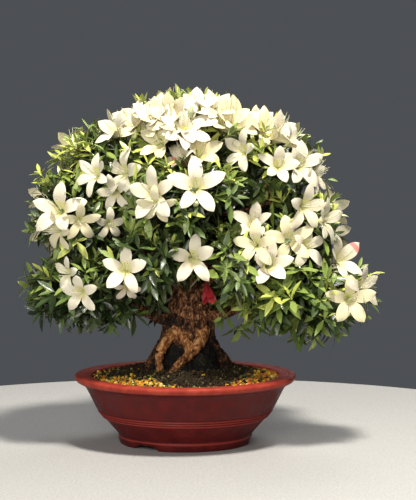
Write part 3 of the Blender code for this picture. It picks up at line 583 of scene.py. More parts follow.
# More of them, that fill the top of the crown between those above
TOP_BLOSSOMS = (
    (-0.064, 0.462, 0.066, -25, 45),
    (-0.037, 0.468, 0.070, -10, 48),
    (0.060, 0.462, 0.070, 5, 42),
    (0.120, 0.448, 0.066, 35, 40),
    (0.000, 0.462, 0.066, 0, 38),
    (-0.040, 0.428, 0.058, -25, 20),
)
# The rest, round the sides and back, are dealt out by rule: first the widely spaced, then those between
HIDDEN_DEALS = ((40, 0.058, SEED), (60, 0.038, SEED + 1))
HIDDEN_TRIES = 6000
HIDDEN_WIDTH = (0.054, 0.066)
HIDDEN_RISE = 0.35
HIDDEN_STRAY = 0.35
# They stand behind this distance, and their place in a mass faces back and up at least this much
HIDDEN_BEHIND = 0.02
HIDDEN_BACKWARD = -0.2
HIDDEN_UPWARD = -0.35
HIDDEN_DEPTH = 0.99
# How far the petals stand up from the flat: of a blossom that faces sideways, and more where it faces up
CUPPING = (0.14, 0.72)
# A petal from the heart of the blossom to its tip: share of its length, then the distance out and the
# height towards the face, both in shares of the blossom's radius, and half its width there
PETAL_ROWS = (
    (0.00, 0.01, -0.54, 0.036),
    (0.12, 0.08, -0.43, 0.070),
    (0.26, 0.20, -0.29, 0.150),
    (0.42, 0.38, -0.14, 0.240),
    (0.58, 0.60, -0.04, 0.276),
    (0.74, 0.82, 0.00, 0.252),
    (0.88, 1.01, 0.00, 0.176),
    (1.00, 1.15, -0.03, 0.020),
)
HINGE_ROW = 2
PETAL_COLUMNS = (-1.0, -0.5, 0.0, 0.5, 1.0)
# How large the petals are against the widths above: of a blossom that faces sideways, and how much more
# where it faces up
PETAL_GROWTH = (0.91, 0.34)
SIX_PETALS = 0.12
# The shares of white and cream ones, and how they differ in their turn and in how far they are open
WHITE_AND_CREAM = (0.7, 0.3)
TURN_STRAY = 0.12
CUPPING_STRAY = 0.10
# How petals differ: in bearing, pitch and bend, and the ranges of length, width and the wave of the edge
PETAL_BEARING_STRAY = 0.07
PETAL_PITCH_STRAY = 0.12
PETAL_BEND = (-0.10, 0.12)
PETAL_LENGTHS = (0.92, 1.08)
PETAL_WIDTHS = (0.88, 1.10)
PETAL_WAVE = (0.01, 0.035)
# How far a blossom is set back for its cupped petals, and how far its neck is behind it, in shares of its
# radius
SET_BACK = 0.45
NECK = 0.66
# How a petal is curled: how fast it bends, how far its edges stand up at its base and how much less at its
# tip, how many radians its wave has and where that starts, and how far it is bent aside
PETAL_BENDS = 1.6
EDGE_AT_BASE = 0.60
EDGE_LESS = 0.95
WAVE_RADIANS = 7
WAVE_FROM = 0.3
BENT_ASIDE = 0.05
# Petals with a pink flush: numbers of the blossom, of its petal, and of the stretch along it
FLUSHED = {(12, 2): 3, (12, 3): 2, (39, 4): 5}
STAMENS = 5
STAMEN_POINTS = 5
# Stamens: their length and start behind the face in shares of the blossom's radius, how far they spread
# and curve up, how thick they and the pistil are, and the size of their tips
STAMEN_LENGTH = (0.95, 1.30)
STAMEN_START = 0.55
STAMEN_SPREAD = (0.08, 0.24)
STAMEN_LIFT = (0.10, 0.32)
STAMEN_TAPER = (1.1, 0.8)
STAMEN_RADIUS = 0.00042
PISTIL_RADIUS = 0.00055
PISTIL_LONGER = 1.15
ANTHER_SIZE = (0.0008, 0.0012)
# The one red flower that hangs by the trunk: its place, the way it faces and its size, and how far open,
# wide and long its petals are and how far their edges stand up, in shares of other petals
SPENT_FLOWER = (0.032, -0.076, 0.221)
SPENT_FACING = (0.15, -0.55, -0.85)
SPENT_SIZE = 0.021
SPENT_OPEN = 0.42
SPENT_WIDE = 1.1
SPENT_LONG = 1.5
SPENT_EDGE = 0.25
# How far below its place leaves keep clear of it, and to what radius
SPENT_DROP = 0.008
SPENT_CLEAR = 0.028
# Blossoms that face up more than this are seen from the side, with leaves before them
FAN_RISE = 0.55
# What leaves keep clear of, in shares of a blossom's radius: beside its axis, from behind it to before it,
# and beside the line of sight to those in front
FACE_CLEAR = 0.80
FACE_BEHIND = -0.30
FACE_BEFORE = 1.3
SIGHT_CLEAR = 0.62
# Where along a leaf that is tested besides its tip, and in what share the tip has to keep clear
LEAF_MIDDLE = 0.6
TIP_CLEAR = 0.85


def linked(name, data):
    """A new object in the scene."""
    obj = bpy.data.objects.new(name, data)
    bpy.context.scene.collection.objects.link(obj)
    return obj


def triples(items, key):
    """One triple of numbers for each vertex or face of a mesh."""
    values = np.empty(len(items) * 3)
    items.foreach_get(key, values)
    return values.reshape(-1, 3)


def cloud(points, scale):
    """A soft random value between -1 and 1 at each point."""
    return np.array([noise.noise(Vector(point) * scale) for point in points])


class Shapes:
    """Many small shapes gathered into one mesh, each face with the number of its material."""

    def __init__(self):
        self.points, self.faces, self.slots, self.count = [], [], [], 0

    def add(self, points, faces, slots=0):
        """Adds copies of one shape: points as (copies, corners, 3), faces as (faces, sides), and slots as
        one number, one a copy as (copies, 1), or one a face as (1, faces)."""
        points = np.asarray(points, float)
        if points.ndim == 2:
            points = points[None]
        copies, corners = points.shape[:2]
        faces = np.asarray(faces)
        first = self.count + corners * np.arange(copies)
        self.points.append(points.reshape(-1, 3))
        self.faces.append((faces[None] + first[:, None, None]).reshape(-1, faces.shape[1]))
        self.slots.append(np.broadcast_to(slots, (copies, len(faces))).ravel())
        self.count += copies * corners

    def mesh(self, name, smooth=True):
        """The shapes as one mesh, moved to the pot's axis."""
        mesh = bpy.data.meshes.new(name)
        points = np.concatenate(self.points) + AXIS
        loops = np.concatenate([block.ravel() for block in self.faces])
        sides = np.concatenate([np.full(len(block), block.shape[1]) for block in self.faces])
        mesh.vertices.add(len(points))
        mesh.vertices.foreach_set("co", points.ravel())
        mesh.loops.add(len(loops))
        mesh.loops.foreach_set("vertex_index", loops.astype(np.int32))
        mesh.polygons.add(len(sides))
        mesh.polygons.foreach_set("loop_start", (np.cumsum(sides) - sides).astype(np.int32))
        mesh.polygons.foreach_set("material_index", np.concatenate(self.slots).astype(np.int32))
        mesh.polygons.foreach_set("use_smooth", np.full(len(sides), smooth))
        mesh.update(calc_edges=True)
        return mesh

    def piece(self, name, materials, smooth=True):
        """The shapes as one object in the scene."""
        mesh = self.mesh(name, smooth)
        for material in materials:
            mesh.materials.append(material)
        return linked(name, mesh)


def unit(vectors):
    """Vectors brought to a length of one."""
    vectors = np.asarray(vectors, float)
    return vectors / np.maximum(np.linalg.norm(vectors, axis=-1, keepdims=True), 1e-12)


def turns_along(along, up):
    """Rotations, one for each row, whose X runs along and whose Z leans to up."""
    along = unit(along)
    across = unit(np.cross(up, along))
    return np.stack([along, across, np.cross(along, across)], axis=-1)


def put(shape, turns, places, sizes=1.0):
    """Copies of a shape, turned, sized and moved: (copies, corners, 3)."""
    sizes = np.broadcast_to(sizes, (len(places),))[:, None, None]
    copies = np.broadcast_to(shape, (len(places), *shape.shape[-2:]))
    return np.einsum("nij,nkj->nki", turns, copies) * sizes + np.asarray(places)[:, None, :]


def grid_faces(rows, columns, closed):
    """The four-sided faces of a grid of points, row by row, joined round where it is closed."""
    faces = []
    for row in range(rows - 1):
        for column in range(columns if closed else columns - 1):
            after = (column + 1) % columns
            faces.append((
                row * columns + column,
                row * columns + after,
                (row + 1) * columns + after,
                (row + 1) * columns + column,
            ))
    return np.array(faces)


def ring(sides):
    """The points of a ring about X, in unit size."""
    bearing = 2 * np.pi * np.arange(sides) / sides
    return np.stack([np.zeros(sides), np.cos(bearing), np.sin(bearing)], axis=-1)


def ring_turns(points):
    """A turn for each point of a line, X along it."""
    points = np.asarray(points, float)
    along = unit(np.gradient(points, axis=0))
    up = np.where(np.abs(along[:, 2:]) > 0.9, (1.0, 0.0, 0.0), (0.0, 0.0, 1.0))
    return turns_along(along, up)


def smooth_line(rows, steps):
    """A finer line through rows of numbers, rounded between them."""
    rows = np.asarray(rows, float)
    padded = np.concatenate([2 * rows[:1] - rows[1:2], rows, 2 * rows[-1:] - rows[-2:-1]])
    found = []
    for k in range(1, len(padded) - 2):
        a, b, c, d = padded[k - 1:k + 3]
        for share in np.arange(steps) / steps:
            found.append(0.5 * (2 * b + (c - a) * share + (2 * a - 5 * b + 4 * c - d) * share**2
                                + (3 * b - a - 3 * c + d) * share**3))
    return np.array(found + [padded[-2]])


# Limbs


def trunk_at(height):
    """The trunk's centre and radius at a height, without its roots."""
    heights = [station[0] for station in TRUNK_STATIONS]
    across, back, radius = (np.interp(height, heights, [s[i] for s in TRUNK_STATIONS]) for i in (1, 2, 3))
    return Vector((float(across), float(back), height)), float(radius)


def flare(height, bearing):
    """How far the surface roots stand out of the trunk at a height and a bearing in radians."""
    if height >= FLARE_TOP:
        return 0.0
    share = ((FLARE_TOP - height) / (FLARE_TOP - TRUNK_FOOT)) ** FLARE_POWER
    out = 0.0
    for root_bearing, reach in SURFACE_ROOTS:
        turn = (bearing - math.radians(root_bearing) + math.pi) % (2 * math.pi) - math.pi
        out += reach * math.exp(-((turn / ROOT_SPREAD) ** 2))
    return share * out


def mass_centre(name):
    """The middle of a mass."""
    return Vector(MASSES[name][0])


def bough_route(name):
    """Points and radii of the bough that carries a mass: from inside the trunk to where it enters the
    mass."""
    height, thick, thin, rise = BOUGHS[name]
    start, _ = trunk_at(height)
    centre = mass_centre(name)
    half = Vector(MASSES[name][1])
    back = start - centre
    reach = math.sqrt(sum((b / h) ** 2 for b, h in zip(back, half)))
    end = centre + back * (BOUGH_ENTRY / reach)
    sideways = Vector((-(end - start).y, (end - start).x, 0)).normalized()
    rng = random.Random(f"bough {name} {SEED}")
    sway = rng.choice((-1, 1)) * rng.uniform(*BOUGH_SWAY) * (end - start).length
    points, radii = [], []
    for k in range(BOUGH_POINTS):
        share = k / (BOUGH_POINTS - 1)
        bend = math.sin(math.pi * share)
        twist = math.sin(2 * math.pi * share)
        points.append(start.lerp(end, share) + Vector((0, 0, rise * bend)) + sideways * sway * twist)
        radii.append(thick + (thin - thick) * share**BOUGH_TAPER)
    return points, radii


def limb_arrays():
    """The limbs' stretches as arrays of start, run, start radius and end radius."""
    lines = [[trunk_at(station[0]) for station in TRUNK_STATIONS]]
    lines += [list(zip(*bough_route(name))) for name in BOUGHS]
    starts, ends, first, last = [], [], [], []
    for line in lines:
        for (p, r), (q, s) in zip(line, line[1:]):
            starts.append(p)
            ends.append(q)
            first.append(r)
            last.append(s)
    starts = np.array(starts)
    return starts, np.array(ends) - starts, np.array(first), np.array(last)


LIMBS = limb_arrays()


def to_limbs(points):
    """The distance from each point to the nearest limb's surface, and that limb's radius there."""
    starts, runs, first, last = LIMBS
    away, radii = [], []
    for block in np.array_split(np.asarray(points), max(1, len(points) // 4000)):
        offset = block[:, None, :] - starts
        share = np.clip((offset * runs).sum(-1) / (runs**2).sum(-1), 0, 1)
        radius = first + (last - first) * share
        distance = np.linalg.norm(offset - runs * share[..., None], axis=-1) - radius
        nearest = distance.argmin(axis=1)
        away.append(distance.min(axis=1))
        radii.append(radius[np.arange(len(block)), nearest])
    return np.concatenate(away), np.concatenate(radii)


# The spaces of the crown


def in_own_space(name, points):
    """Whether each point is on a mass's side of the plane between it and each other mass."""
    centre, half = (np.array(row) for row in MASSES[name])
    inside = np.ones(len(points), bool)
    for other, (other_centre, other_half) in MASSES.items():
        if other == name:
            continue
        away = np.array(other_centre) - centre
        apart = np.linalg.norm(away)
        plane = (apart**2 + np.mean(half) ** 2 - np.mean(other_half) ** 2) / (2 * apart) - CELL_CLEARANCE
        inside &= (points - centre) @ (away / apart) < plane
    return inside


def depths_in_crown(points, apart_from=None):
    """The least depth of each point in any mass, 0 at its centre and 1 on its surface."""
    depths = [
        np.linalg.norm((np.asarray(points) - centre) / np.array(half), axis=-1)
        for name, (centre, half) in MASSES.items()
        if name != apart_from
    ]
    return np.min(depths, axis=0)


def owner(point):
    """The mass whose space holds a point."""
    def power(name):
        centre, half = MASSES[name]
        return float(np.sum((np.asarray(point) - centre) ** 2)) - np.mean(half) ** 2
    return min(MASSES, key=power)


def toward(turn_deg, up_deg):
    """A direction by degrees to the right of the front and degrees up."""
    turn, up = math.radians(turn_deg), math.radians(up_deg)
    return Vector((math.sin(turn) * math.cos(up), -math.cos(turn) * math.cos(up), math.sin(up)))


def on_the_front(across, height):
    """Where the line of sight through a point of the trunk's plane first meets the crown, or passes
    nearest to it."""
    sight = Vector((across, 0, height)) - FRONT_VIEW
    nearest, least = None, math.inf
    for step in range(SIGHT_STEPS):
        share = SIGHT_SHARES[0] + (SIGHT_SHARES[1] - SIGHT_SHARES[0]) * step / SIGHT_STEPS
        point = FRONT_VIEW + sight * share
        depth = float(depths_in_crown(point))
        if depth < least:
            nearest, least = point, depth
        if depth <= 1.0:
            break
    return nearest


def surface_normal(name, point):
    """The way that a mass's surface faces at a point on it."""
    centre, half = MASSES[name]
    return Vector([(p - c) / h**2 for p, c, h in zip(point, centre, half)]).normalized()


def random_direction(rng):
    """A direction, all of them as likely."""
    height = rng.uniform(-1, 1)
    bearing = rng.uniform(0, 2 * math.pi)
    flat = math.sqrt(1 - height * height)
    return Vector((flat * math.cos(bearing), flat * math.sin(bearing), height))


class Blossom(NamedTuple):
    """One open blossom: the mass that it grows on, its place, the way it faces, and its radius."""

    mass: str
    place: Vector
    facing: Vector
    radius: float


def all_blossoms():
    """Every blossom: those of the front, those dealt out elsewhere, and those that fill the top."""
    blossoms = []
    for number, (across, height, width, turn_deg, up_deg) in enumerate(FRONT_BLOSSOMS):
        place = on_the_front(across, height)
        name = owner(place)
        place += (FRONT_VIEW - place).normalized() * STANDS_OUT.get(number, 0.0)
        blossoms.append(Blossom(name, place, toward(turn_deg, up_deg), width / 2))
    for wanted, spacing, seed in HIDDEN_DEALS:
        rng = random.Random(seed)
        dealt = 0
        for _ in range(HIDDEN_TRIES):
            if dealt == wanted:
                break
            name = rng.choice(list(MASSES))
            way = random_direction(rng)
            centre, half = MASSES[name]
            place = Vector([c + w * h for c, w, h in zip(centre, way, half)])
            hidden = place.y > HIDDEN_BEHIND and way.y > HIDDEN_BACKWARD and way.z > HIDDEN_UPWARD
            if not hidden or owner(place) != name or float(depths_in_crown(place)) < HIDDEN_DEPTH:
                continue
            if min((place - other.place).length for other in blossoms) < spacing:
                continue
            facing = surface_normal(name, place) + Vector((0, 0, HIDDEN_RISE))
            facing += HIDDEN_STRAY * random_direction(rng)
            blossoms.append(Blossom(name, place, facing.normalized(), rng.uniform(*HIDDEN_WIDTH) / 2))
            dealt += 1
    for across, height, width, turn_deg, up_deg in TOP_BLOSSOMS:
        place = on_the_front(across, height)
        blossoms.append(Blossom(owner(place), place, toward(turn_deg, up_deg), width / 2))
    return blossoms


def tubes(shapes, lines, radii, sides, slots=0):
    """Adds a thin tube along each line: lines as (tubes, points, 3) and radii as (tubes, points)."""
    lines = np.asarray(lines, float)
    count, steps = lines.shape[:2]
    along = unit(np.gradient(lines, axis=1))
    whole = unit(lines[:, -1] - lines[:, 0])
    up = np.where(np.abs(whole[:, 2:]) > 0.8, (1.0, 0.0, 0.0), (0.0, 0.0, 1.0))[:, None, :]
    across = unit(np.cross(np.broadcast_to(up, along.shape), along))
    third = np.cross(along, across)
    bearing = 2 * np.pi * np.arange(sides) / sides
    around = across[:, :, None] * np.cos(bearing)[:, None] + third[:, :, None] * np.sin(bearing)[:, None]
    points = lines[:, :, None] + np.broadcast_to(radii, (count, steps))[:, :, None, None] * around
    shapes.add(points.reshape(count, steps * sides, 3), grid_faces(steps, sides, True), slots)


# Finishes


def node(tree, kind, inputs=None, **settings):
    """A shader node with its settings, and with its inputs set or linked."""
    made = tree.nodes.new(kind)
    for key, value in settings.items():
        setattr(made, key, value)
    for key, value in (inputs or {}).items():
        if isinstance(value, bpy.types.NodeSocket):
            tree.links.new(value, made.inputs[key])
        else:
            made.inputs[key].default_value = value
    return made


def group(name, inputs, output):
    """An empty node group: its tree, its input node, and its output node."""
    tree = bpy.data.node_groups.new(name, "ShaderNodeTree")
    for key, (kind, value) in inputs.items():
        tree.interface.new_socket(key, in_out="INPUT", socket_type=kind).default_value = value
    tree.interface.new_socket(output, in_out="OUTPUT", socket_type="NodeSocketFloat")
    return tree, tree.nodes.new("NodeGroupInput"), tree.nodes.new("NodeGroupOutput")


def stretched_place(tree, given):
    """Where a place is on the object, stretched as the group is told."""
    place = node(tree, "ShaderNodeTexCoord").outputs["Object"]
    return node(
        tree, "ShaderNodeVectorMath", {0: place, 1: given.outputs["Stretch"]}, operation="MULTIPLY",
    ).outputs[0]


def patches_group():
    """Soft patches over a surface, as a mask between 0 and 1."""
    tree, given, put_out = group("patches", {
        "Scale": ("NodeSocketFloat", 30.0),
        "Stretch": ("NodeSocketVector", (1.0, 1.0, 1.0)),
        "Low": ("NodeSocketFloat", 0.4),
        "High": ("NodeSocketFloat", 0.6),
    }, "Mask")
    soft = node(tree, "ShaderNodeTexNoise", {
        "Vector": stretched_place(tree, given),
        "Scale": given.outputs["Scale"],
        "Detail": 4.0,
        "Roughness": 0.6,
    })
    mask = node(tree, "ShaderNodeMapRange", {
        "Value": soft.outputs["Fac"], "From Min": given.outputs["Low"], "From Max": given.outputs["High"],
    }, interpolation_type="SMOOTHSTEP")
    tree.links.new(mask.outputs["Result"], put_out.inputs["Mask"])
    return tree


def grain_group():
    """The height of a fine grain over a surface, from a coarse and a fine cloud."""
    tree, given, put_out = group("grain", {
        "Coarse": ("NodeSocketFloat", 120.0),
        "Fine": ("NodeSocketFloat", 700.0),
        "Stretch": ("NodeSocketVector", (1.0, 1.0, 1.0)),
    }, "Height")
    place = stretched_place(tree, given)
    coarse, fine = (
        node(tree, "ShaderNodeTexNoise", {
            "Vector": place, "Scale": given.outputs[key], "Detail": 3.0,
        }).outputs["Fac"]
        for key in ("Coarse", "Fine")
    )
    height = node(tree, "ShaderNodeMix", {"Factor": 0.4, "A": coarse, "B": fine}, data_type="FLOAT")
    tree.links.new(height.outputs["Result"], put_out.inputs["Height"])
    return tree


PATCHES = patches_group()
GRAIN = grain_group()


class Finish:
    """A material in the making."""

    def __init__(self, name, **plain):
        self.material = bpy.data.materials.new(name)
        self.material.use_nodes = True
        self.tree = self.material.node_tree
        self.shader = self.tree.nodes["Principled BSDF"]
        for key, value in plain.items():
            self.set(key.replace("_", " ").title().replace("Ior", "IOR"), value)

    def set(self, key, value):
        """Sets or links an input of the shader."""
        if isinstance(value, bpy.types.NodeSocket):
            self.tree.links.new(value, self.shader.inputs[key])
        else:
            if key == "Base Color":
                value = (*value, 1.0)
            self.shader.inputs[key].default_value = value

    def effect(self, tree, **inputs):
        """The output of a node group with its inputs set."""
        made = node(self.tree, "ShaderNodeGroup", node_tree=tree)
        for key, value in inputs.items():
            made.inputs[key].default_value = value
        return made.outputs[0]

    def patches(self, scale, low=0.4, high=0.6, stretch=(1, 1, 1)):
        """A mask of soft patches."""
        return self.effect(PATCHES, Scale=scale, Low=low, High=high, Stretch=stretch)

    def mix(self, mask, first, second):
        """A colour between two, each a colour or the output of another node."""
        made = node(self.tree, "ShaderNodeMix", data_type="RGBA")
        self.tree.links.new(mask, made.inputs["Factor"])
        for key, value in ((6, first), (7, second)):
            if isinstance(value, bpy.types.NodeSocket):
                self.tree.links.new(value, made.inputs[key])
            else:
                made.inputs[key].default_value = (*value, 1.0)
        return made.outputs[2]

    def ranged(self, value, low, high, from_low=0.0, from_high=1.0):
        """A value brought from one range to another."""
        return node(self.tree, "ShaderNodeMapRange", {
            "Value": value, "From Min": from_low, "From Max": from_high, "To Min": low, "To Max": high,
        }).outputs["Result"]

    def height(self):
        """The height of a place on the surface above the table."""
        place = node(self.tree, "ShaderNodeTexCoord").outputs["Object"]
        return node(self.tree, "ShaderNodeSeparateXYZ", {0: place}).outputs["Z"]

    def grain(self, coarse, fine, depth, stretch=(1, 1, 1)):
        """Gives the surface a grain of a depth in metres."""
        height = self.effect(GRAIN, Coarse=coarse, Fine=fine, Stretch=stretch)
        bump = node(self.tree, "ShaderNodeBump", {"Height": height, "Distance": depth})
        self.tree.links.new(bump.outputs["Normal"], self.shader.inputs["Normal"])


def leaf_finish(name, face, underside, roughness):
    """A leaf: glossy, and paler beneath, with a fine grain over it."""
    finish = Finish(name, coat_weight=0.30, coat_roughness=0.16)
    back = node(finish.tree, "ShaderNodeNewGeometry").outputs["Backfacing"]
    finish.set("Base Color", finish.mix(back, face, underside))
    finish.set("Roughness", finish.ranged(finish.patches(160), roughness - 0.06, roughness + 0.10))
    finish.grain(260, 900, 0.0006)
    return finish.material


def petal_finish(name, colour, roughness=0.55):
    """A petal: soft and dull, with fine folds along it."""
    finish = Finish(name, base_color=colour, sheen_weight=0.15, sheen_roughness=0.5)
    finish.set("Roughness", finish.ranged(finish.patches(120), roughness - 0.08, roughness + 0.10))
    finish.grain(140, 520, 0.0005)
    return finish.material


def plain_finish(name, colour, second, scale, roughness, grain):
    """A dull finish in two tones with a grain: its coarse and fine scales and its depth."""
    finish = Finish(name, specular_ior_level=0.12)
    finish.set("Base Color", finish.mix(finish.patches(scale), colour, second))
    finish.set("Roughness", finish.ranged(finish.patches(scale * 2), roughness - 0.08, roughness + 0.08))
    finish.grain(*grain)
    return finish.material


def clay_finish():
    """Fired red clay: a dark mottled body with faint smears down it, with painted light that makes the rim
    lighter and oranger, and painted highlights on the crests of its ridges, its kink and its foot.
    """
    finish = Finish("red_clay", specular_ior_level=0.16)
    body = finish.mix(finish.patches(60, 0.30, 0.72), CLAY_DARK, CLAY_RED)
    body = finish.mix(finish.patches(20, 0.56, 0.80, (1.0, 1.0, 0.5)), body, CLAY_SMEAR)
    # Painted light: the rim's colours are lighter and oranger, as light falls on its top
    rim = finish.mix(finish.patches(52, 0.35, 0.7), CLAY_RIM_LIT, CLAY_RIM_LIT_PALE)
    rim_light_mask = finish.ranged(finish.height(), 0.0, 1.0, RIM_LIGHT_FROM, RIM_LIGHT_TO)
    # Painted highlight: lighter clay along the crests, where light catches them
    crest_highlight_mask = node(finish.tree, "ShaderNodeAttribute", attribute_name="crest_highlight").outputs["Fac"]
    body = finish.mix(crest_highlight_mask, body, CLAY_CREST_HIGHLIGHT)
    finish.set("Base Color", finish.mix(rim_light_mask, body, rim))
    finish.set("Roughness", finish.ranged(finish.patches(60), 0.42, 0.62))
    finish.grain(190, 900, 0.0005)
    return finish.material


def bark_finish(name, fibre, tones):
    """Bark: dark in its furrows and light on its ridges by the relief of the mesh, partly its own tone and
    partly painted shade, darker where painted shade was laid into that relief, and by patches, and by fibres
    as strong as asked. Each tone has its place, from 0, deep, to 1."""
    finish = Finish(name, specular_ior_level=0.25)
    relief = node(finish.tree, "ShaderNodeAttribute", attribute_name="relief").outputs["Fac"]
    blotches = finish.ranged(finish.patches(130, 0.3, 0.7), -0.12, 0.12)
    fibres = finish.ranged(finish.patches(430, 0.32, 0.68, (1.0, 1.0, 0.35)), -fibre, fibre)
    tone = node(finish.tree, "ShaderNodeMath", {0: relief, 1: blotches}, operation="ADD").outputs[0]
    tone = node(finish.tree, "ShaderNodeMath", {0: tone, 1: fibres}, operation="ADD").outputs[0]
    ramp = node(finish.tree, "ShaderNodeValToRGB", {"Fac": tone})
    while len(ramp.color_ramp.elements) < len(tones):
        ramp.color_ramp.elements.new(0.5)
    for element, (place, colour) in zip(ramp.color_ramp.elements, tones):
        element.position = place
        element.color = (*colour, 1.0)
    finish.set("Base Color", ramp.outputs["Color"])
    finish.set("Roughness", finish.ranged(finish.patches(150), 0.62, 0.88))
    finish.grain(420, 1400, 0.0022, (1.0, 1.0, 0.5))
    return finish.material


CLAY = clay_finish()
EARTH = plain_finish(
    "dark_earth", (0.012, 0.008, 0.005), (0.034, 0.022, 0.010), 260, 0.85, (240, 900, 0.002),
)
GRANULE_TONES = [
    plain_finish("granule_" + name, first, second, 420, 0.75, (500, 1500, 0.0006))
    for name, first, second in (
        ("cream", (0.62, 0.46, 0.14), (0.72, 0.58, 0.24)),
        ("yellow", (0.62, 0.34, 0.020), (0.72, 0.46, 0.05)),
        ("ochre", (0.34, 0.14, 0.012), (0.44, 0.20, 0.025)),
        ("orange", (0.50, 0.11, 0.010), (0.60, 0.17, 0.02)),
        ("olive", (0.10, 0.10, 0.025), (0.20, 0.17, 0.05)),
        ("dark", (0.013, 0.009, 0.005), (0.036, 0.025, 0.012)),
    )
]
ROOT_HAIR, MOSS, TWIG_BARK, SHOOT = (
    plain_finish(name, first, second, scale, roughness, grain)
    for name, first, second, scale, roughness, grain in (
        ("root_hair", (0.07, 0.05, 0.03), (0.26, 0.20, 0.13), 200, 0.7, (300, 900, 0.0003)),
        ("moss", (0.007, 0.008, 0.003), (0.024, 0.025, 0.008), 300, 0.8, (400, 900, 0.0004)),
        ("twig_bark", (0.085, 0.045, 0.020), (0.17, 0.11, 0.05), 150, 0.7, (300, 900, 0.0006)),
        ("green_shoot", (0.16, 0.20, 0.04), (0.26, 0.28, 0.08), 150, 0.55, (300, 900, 0.0004)),
    )
)
BARKS = [
    bark_finish(name, fibre, tones)
    for name, fibre, tones in (
        ("bark", 0.26, (
            (0.12, (0.006, 0.004, 0.002)),
            (0.45, (0.066, 0.026, 0.010)),
            (0.72, (0.230, 0.092, 0.036)),
            (0.98, (0.500, 0.280, 0.140)),
        )),
        ("root_bark", 0.17, (
            (0.14, (0.010, 0.005, 0.003)),
            (0.40, (0.120, 0.044, 0.014)),
            (0.66, (0.370, 0.150, 0.046)),
            (0.95, (0.640, 0.350, 0.150)),
        )),
        ("mossy_bark", 0.20, (
            (0.15, (0.003, 0.002, 0.001)),
            (0.45, (0.013, 0.010, 0.005)),
            (0.75, (0.036, 0.028, 0.014)),
            (1.00, (0.090, 0.074, 0.040)),
        )),
    )
]
LEAVES = [
    leaf_finish("leaf_" + name, face, underside, roughness)
    for name, face, underside, roughness in (
        ("deep", (0.016, 0.028, 0.007), (0.050, 0.068, 0.022), 0.33),
        ("dark", (0.050, 0.082, 0.023), (0.110, 0.145, 0.045), 0.36),
        ("green", (0.112, 0.172, 0.039), (0.165, 0.220, 0.065), 0.38),
        ("fresh", (0.240, 0.325, 0.068), (0.280, 0.345, 0.095), 0.40),
        ("lime", (0.520, 0.580, 0.125), (0.480, 0.530, 0.170), 0.45),
    )
]
PETALS = [
    petal_finish("petal_" + name, colour)
    for name, colour in (
        ("white", (0.790, 0.730, 0.560)),
        ("cream", (0.760, 0.690, 0.440)),
        ("throat", (0.640, 0.650, 0.230)),
        ("heart", (0.720, 0.700, 0.330)),
        ("blush", (0.780, 0.270, 0.240)),
        ("red", (0.420, 0.012, 0.020)),
    )
]
# The numbers of those that a petal's stretches are given
CREAM, THROAT, HEART, BLUSH, RED = range(1, 6)
FILAMENT = petal_finish("filament", (0.860, 0.850, 0.700))
ANTHER = petal_finish("anther", (0.360, 0.220, 0.080), 0.7)
PISTIL = petal_finish("pistil", (0.560, 0.620, 0.260))
BUD = petal_finish("bud", (0.660, 0.700, 0.360))
TABLE = plain_finish("pale_table", (0.43, 0.425, 0.41), (0.50, 0.495, 0.48), 320, 0.8, (400, 900, 0.0006))


# Pot and soil


def wall_radius(height):
    """The pot's outer radius at a height, between its foot and its rim, without the bands."""
    corners = (WALL_FOOT, WALL_KINK, WALL_TOP)
    return np.interp(height, [corner[1] for corner in corners], [corner[0] for corner in corners])


def rounded(corners, radius=0.001, steps=3):
    """A profile with its corners rounded. Each corner is a radius and height, and may give its own
    rounding."""
    line = []
    count = len(corners)
    for k, corner in enumerate(corners):
        here = np.array(corner[:2])
        before, after = (np.array(corners[(k + way) % count][:2]) for way in (-1, 1))
        cut = corner[2] if len(corner) > 2 else radius
        cut = min(cut, 0.45 * np.linalg.norm(before - here), 0.45 * np.linalg.norm(after - here))
        first, last = here + unit(before - here) * cut, here + unit(after - here) * cut
        for share in np.arange(steps + 1) / steps:
            line.append((1 - share) ** 2 * first + 2 * share * (1 - share) * here + share**2 * last)
    return np.array(line)


def lathe(profile, steps, closed):
    """A profile turned about the pot's axis: its points, row by row, back to the first where it is closed."""
    bearing = 2 * np.pi * np.arange(steps) / steps
    rows = np.stack([
        profile[:, :1] * np.cos(bearing), profile[:, :1] * np.sin(bearing),
        np.repeat(profile[:, 1:], steps, axis=1),
    ], axis=-1)
    if closed:
        rows = np.concatenate([rows, rows[:1]])
    return rows


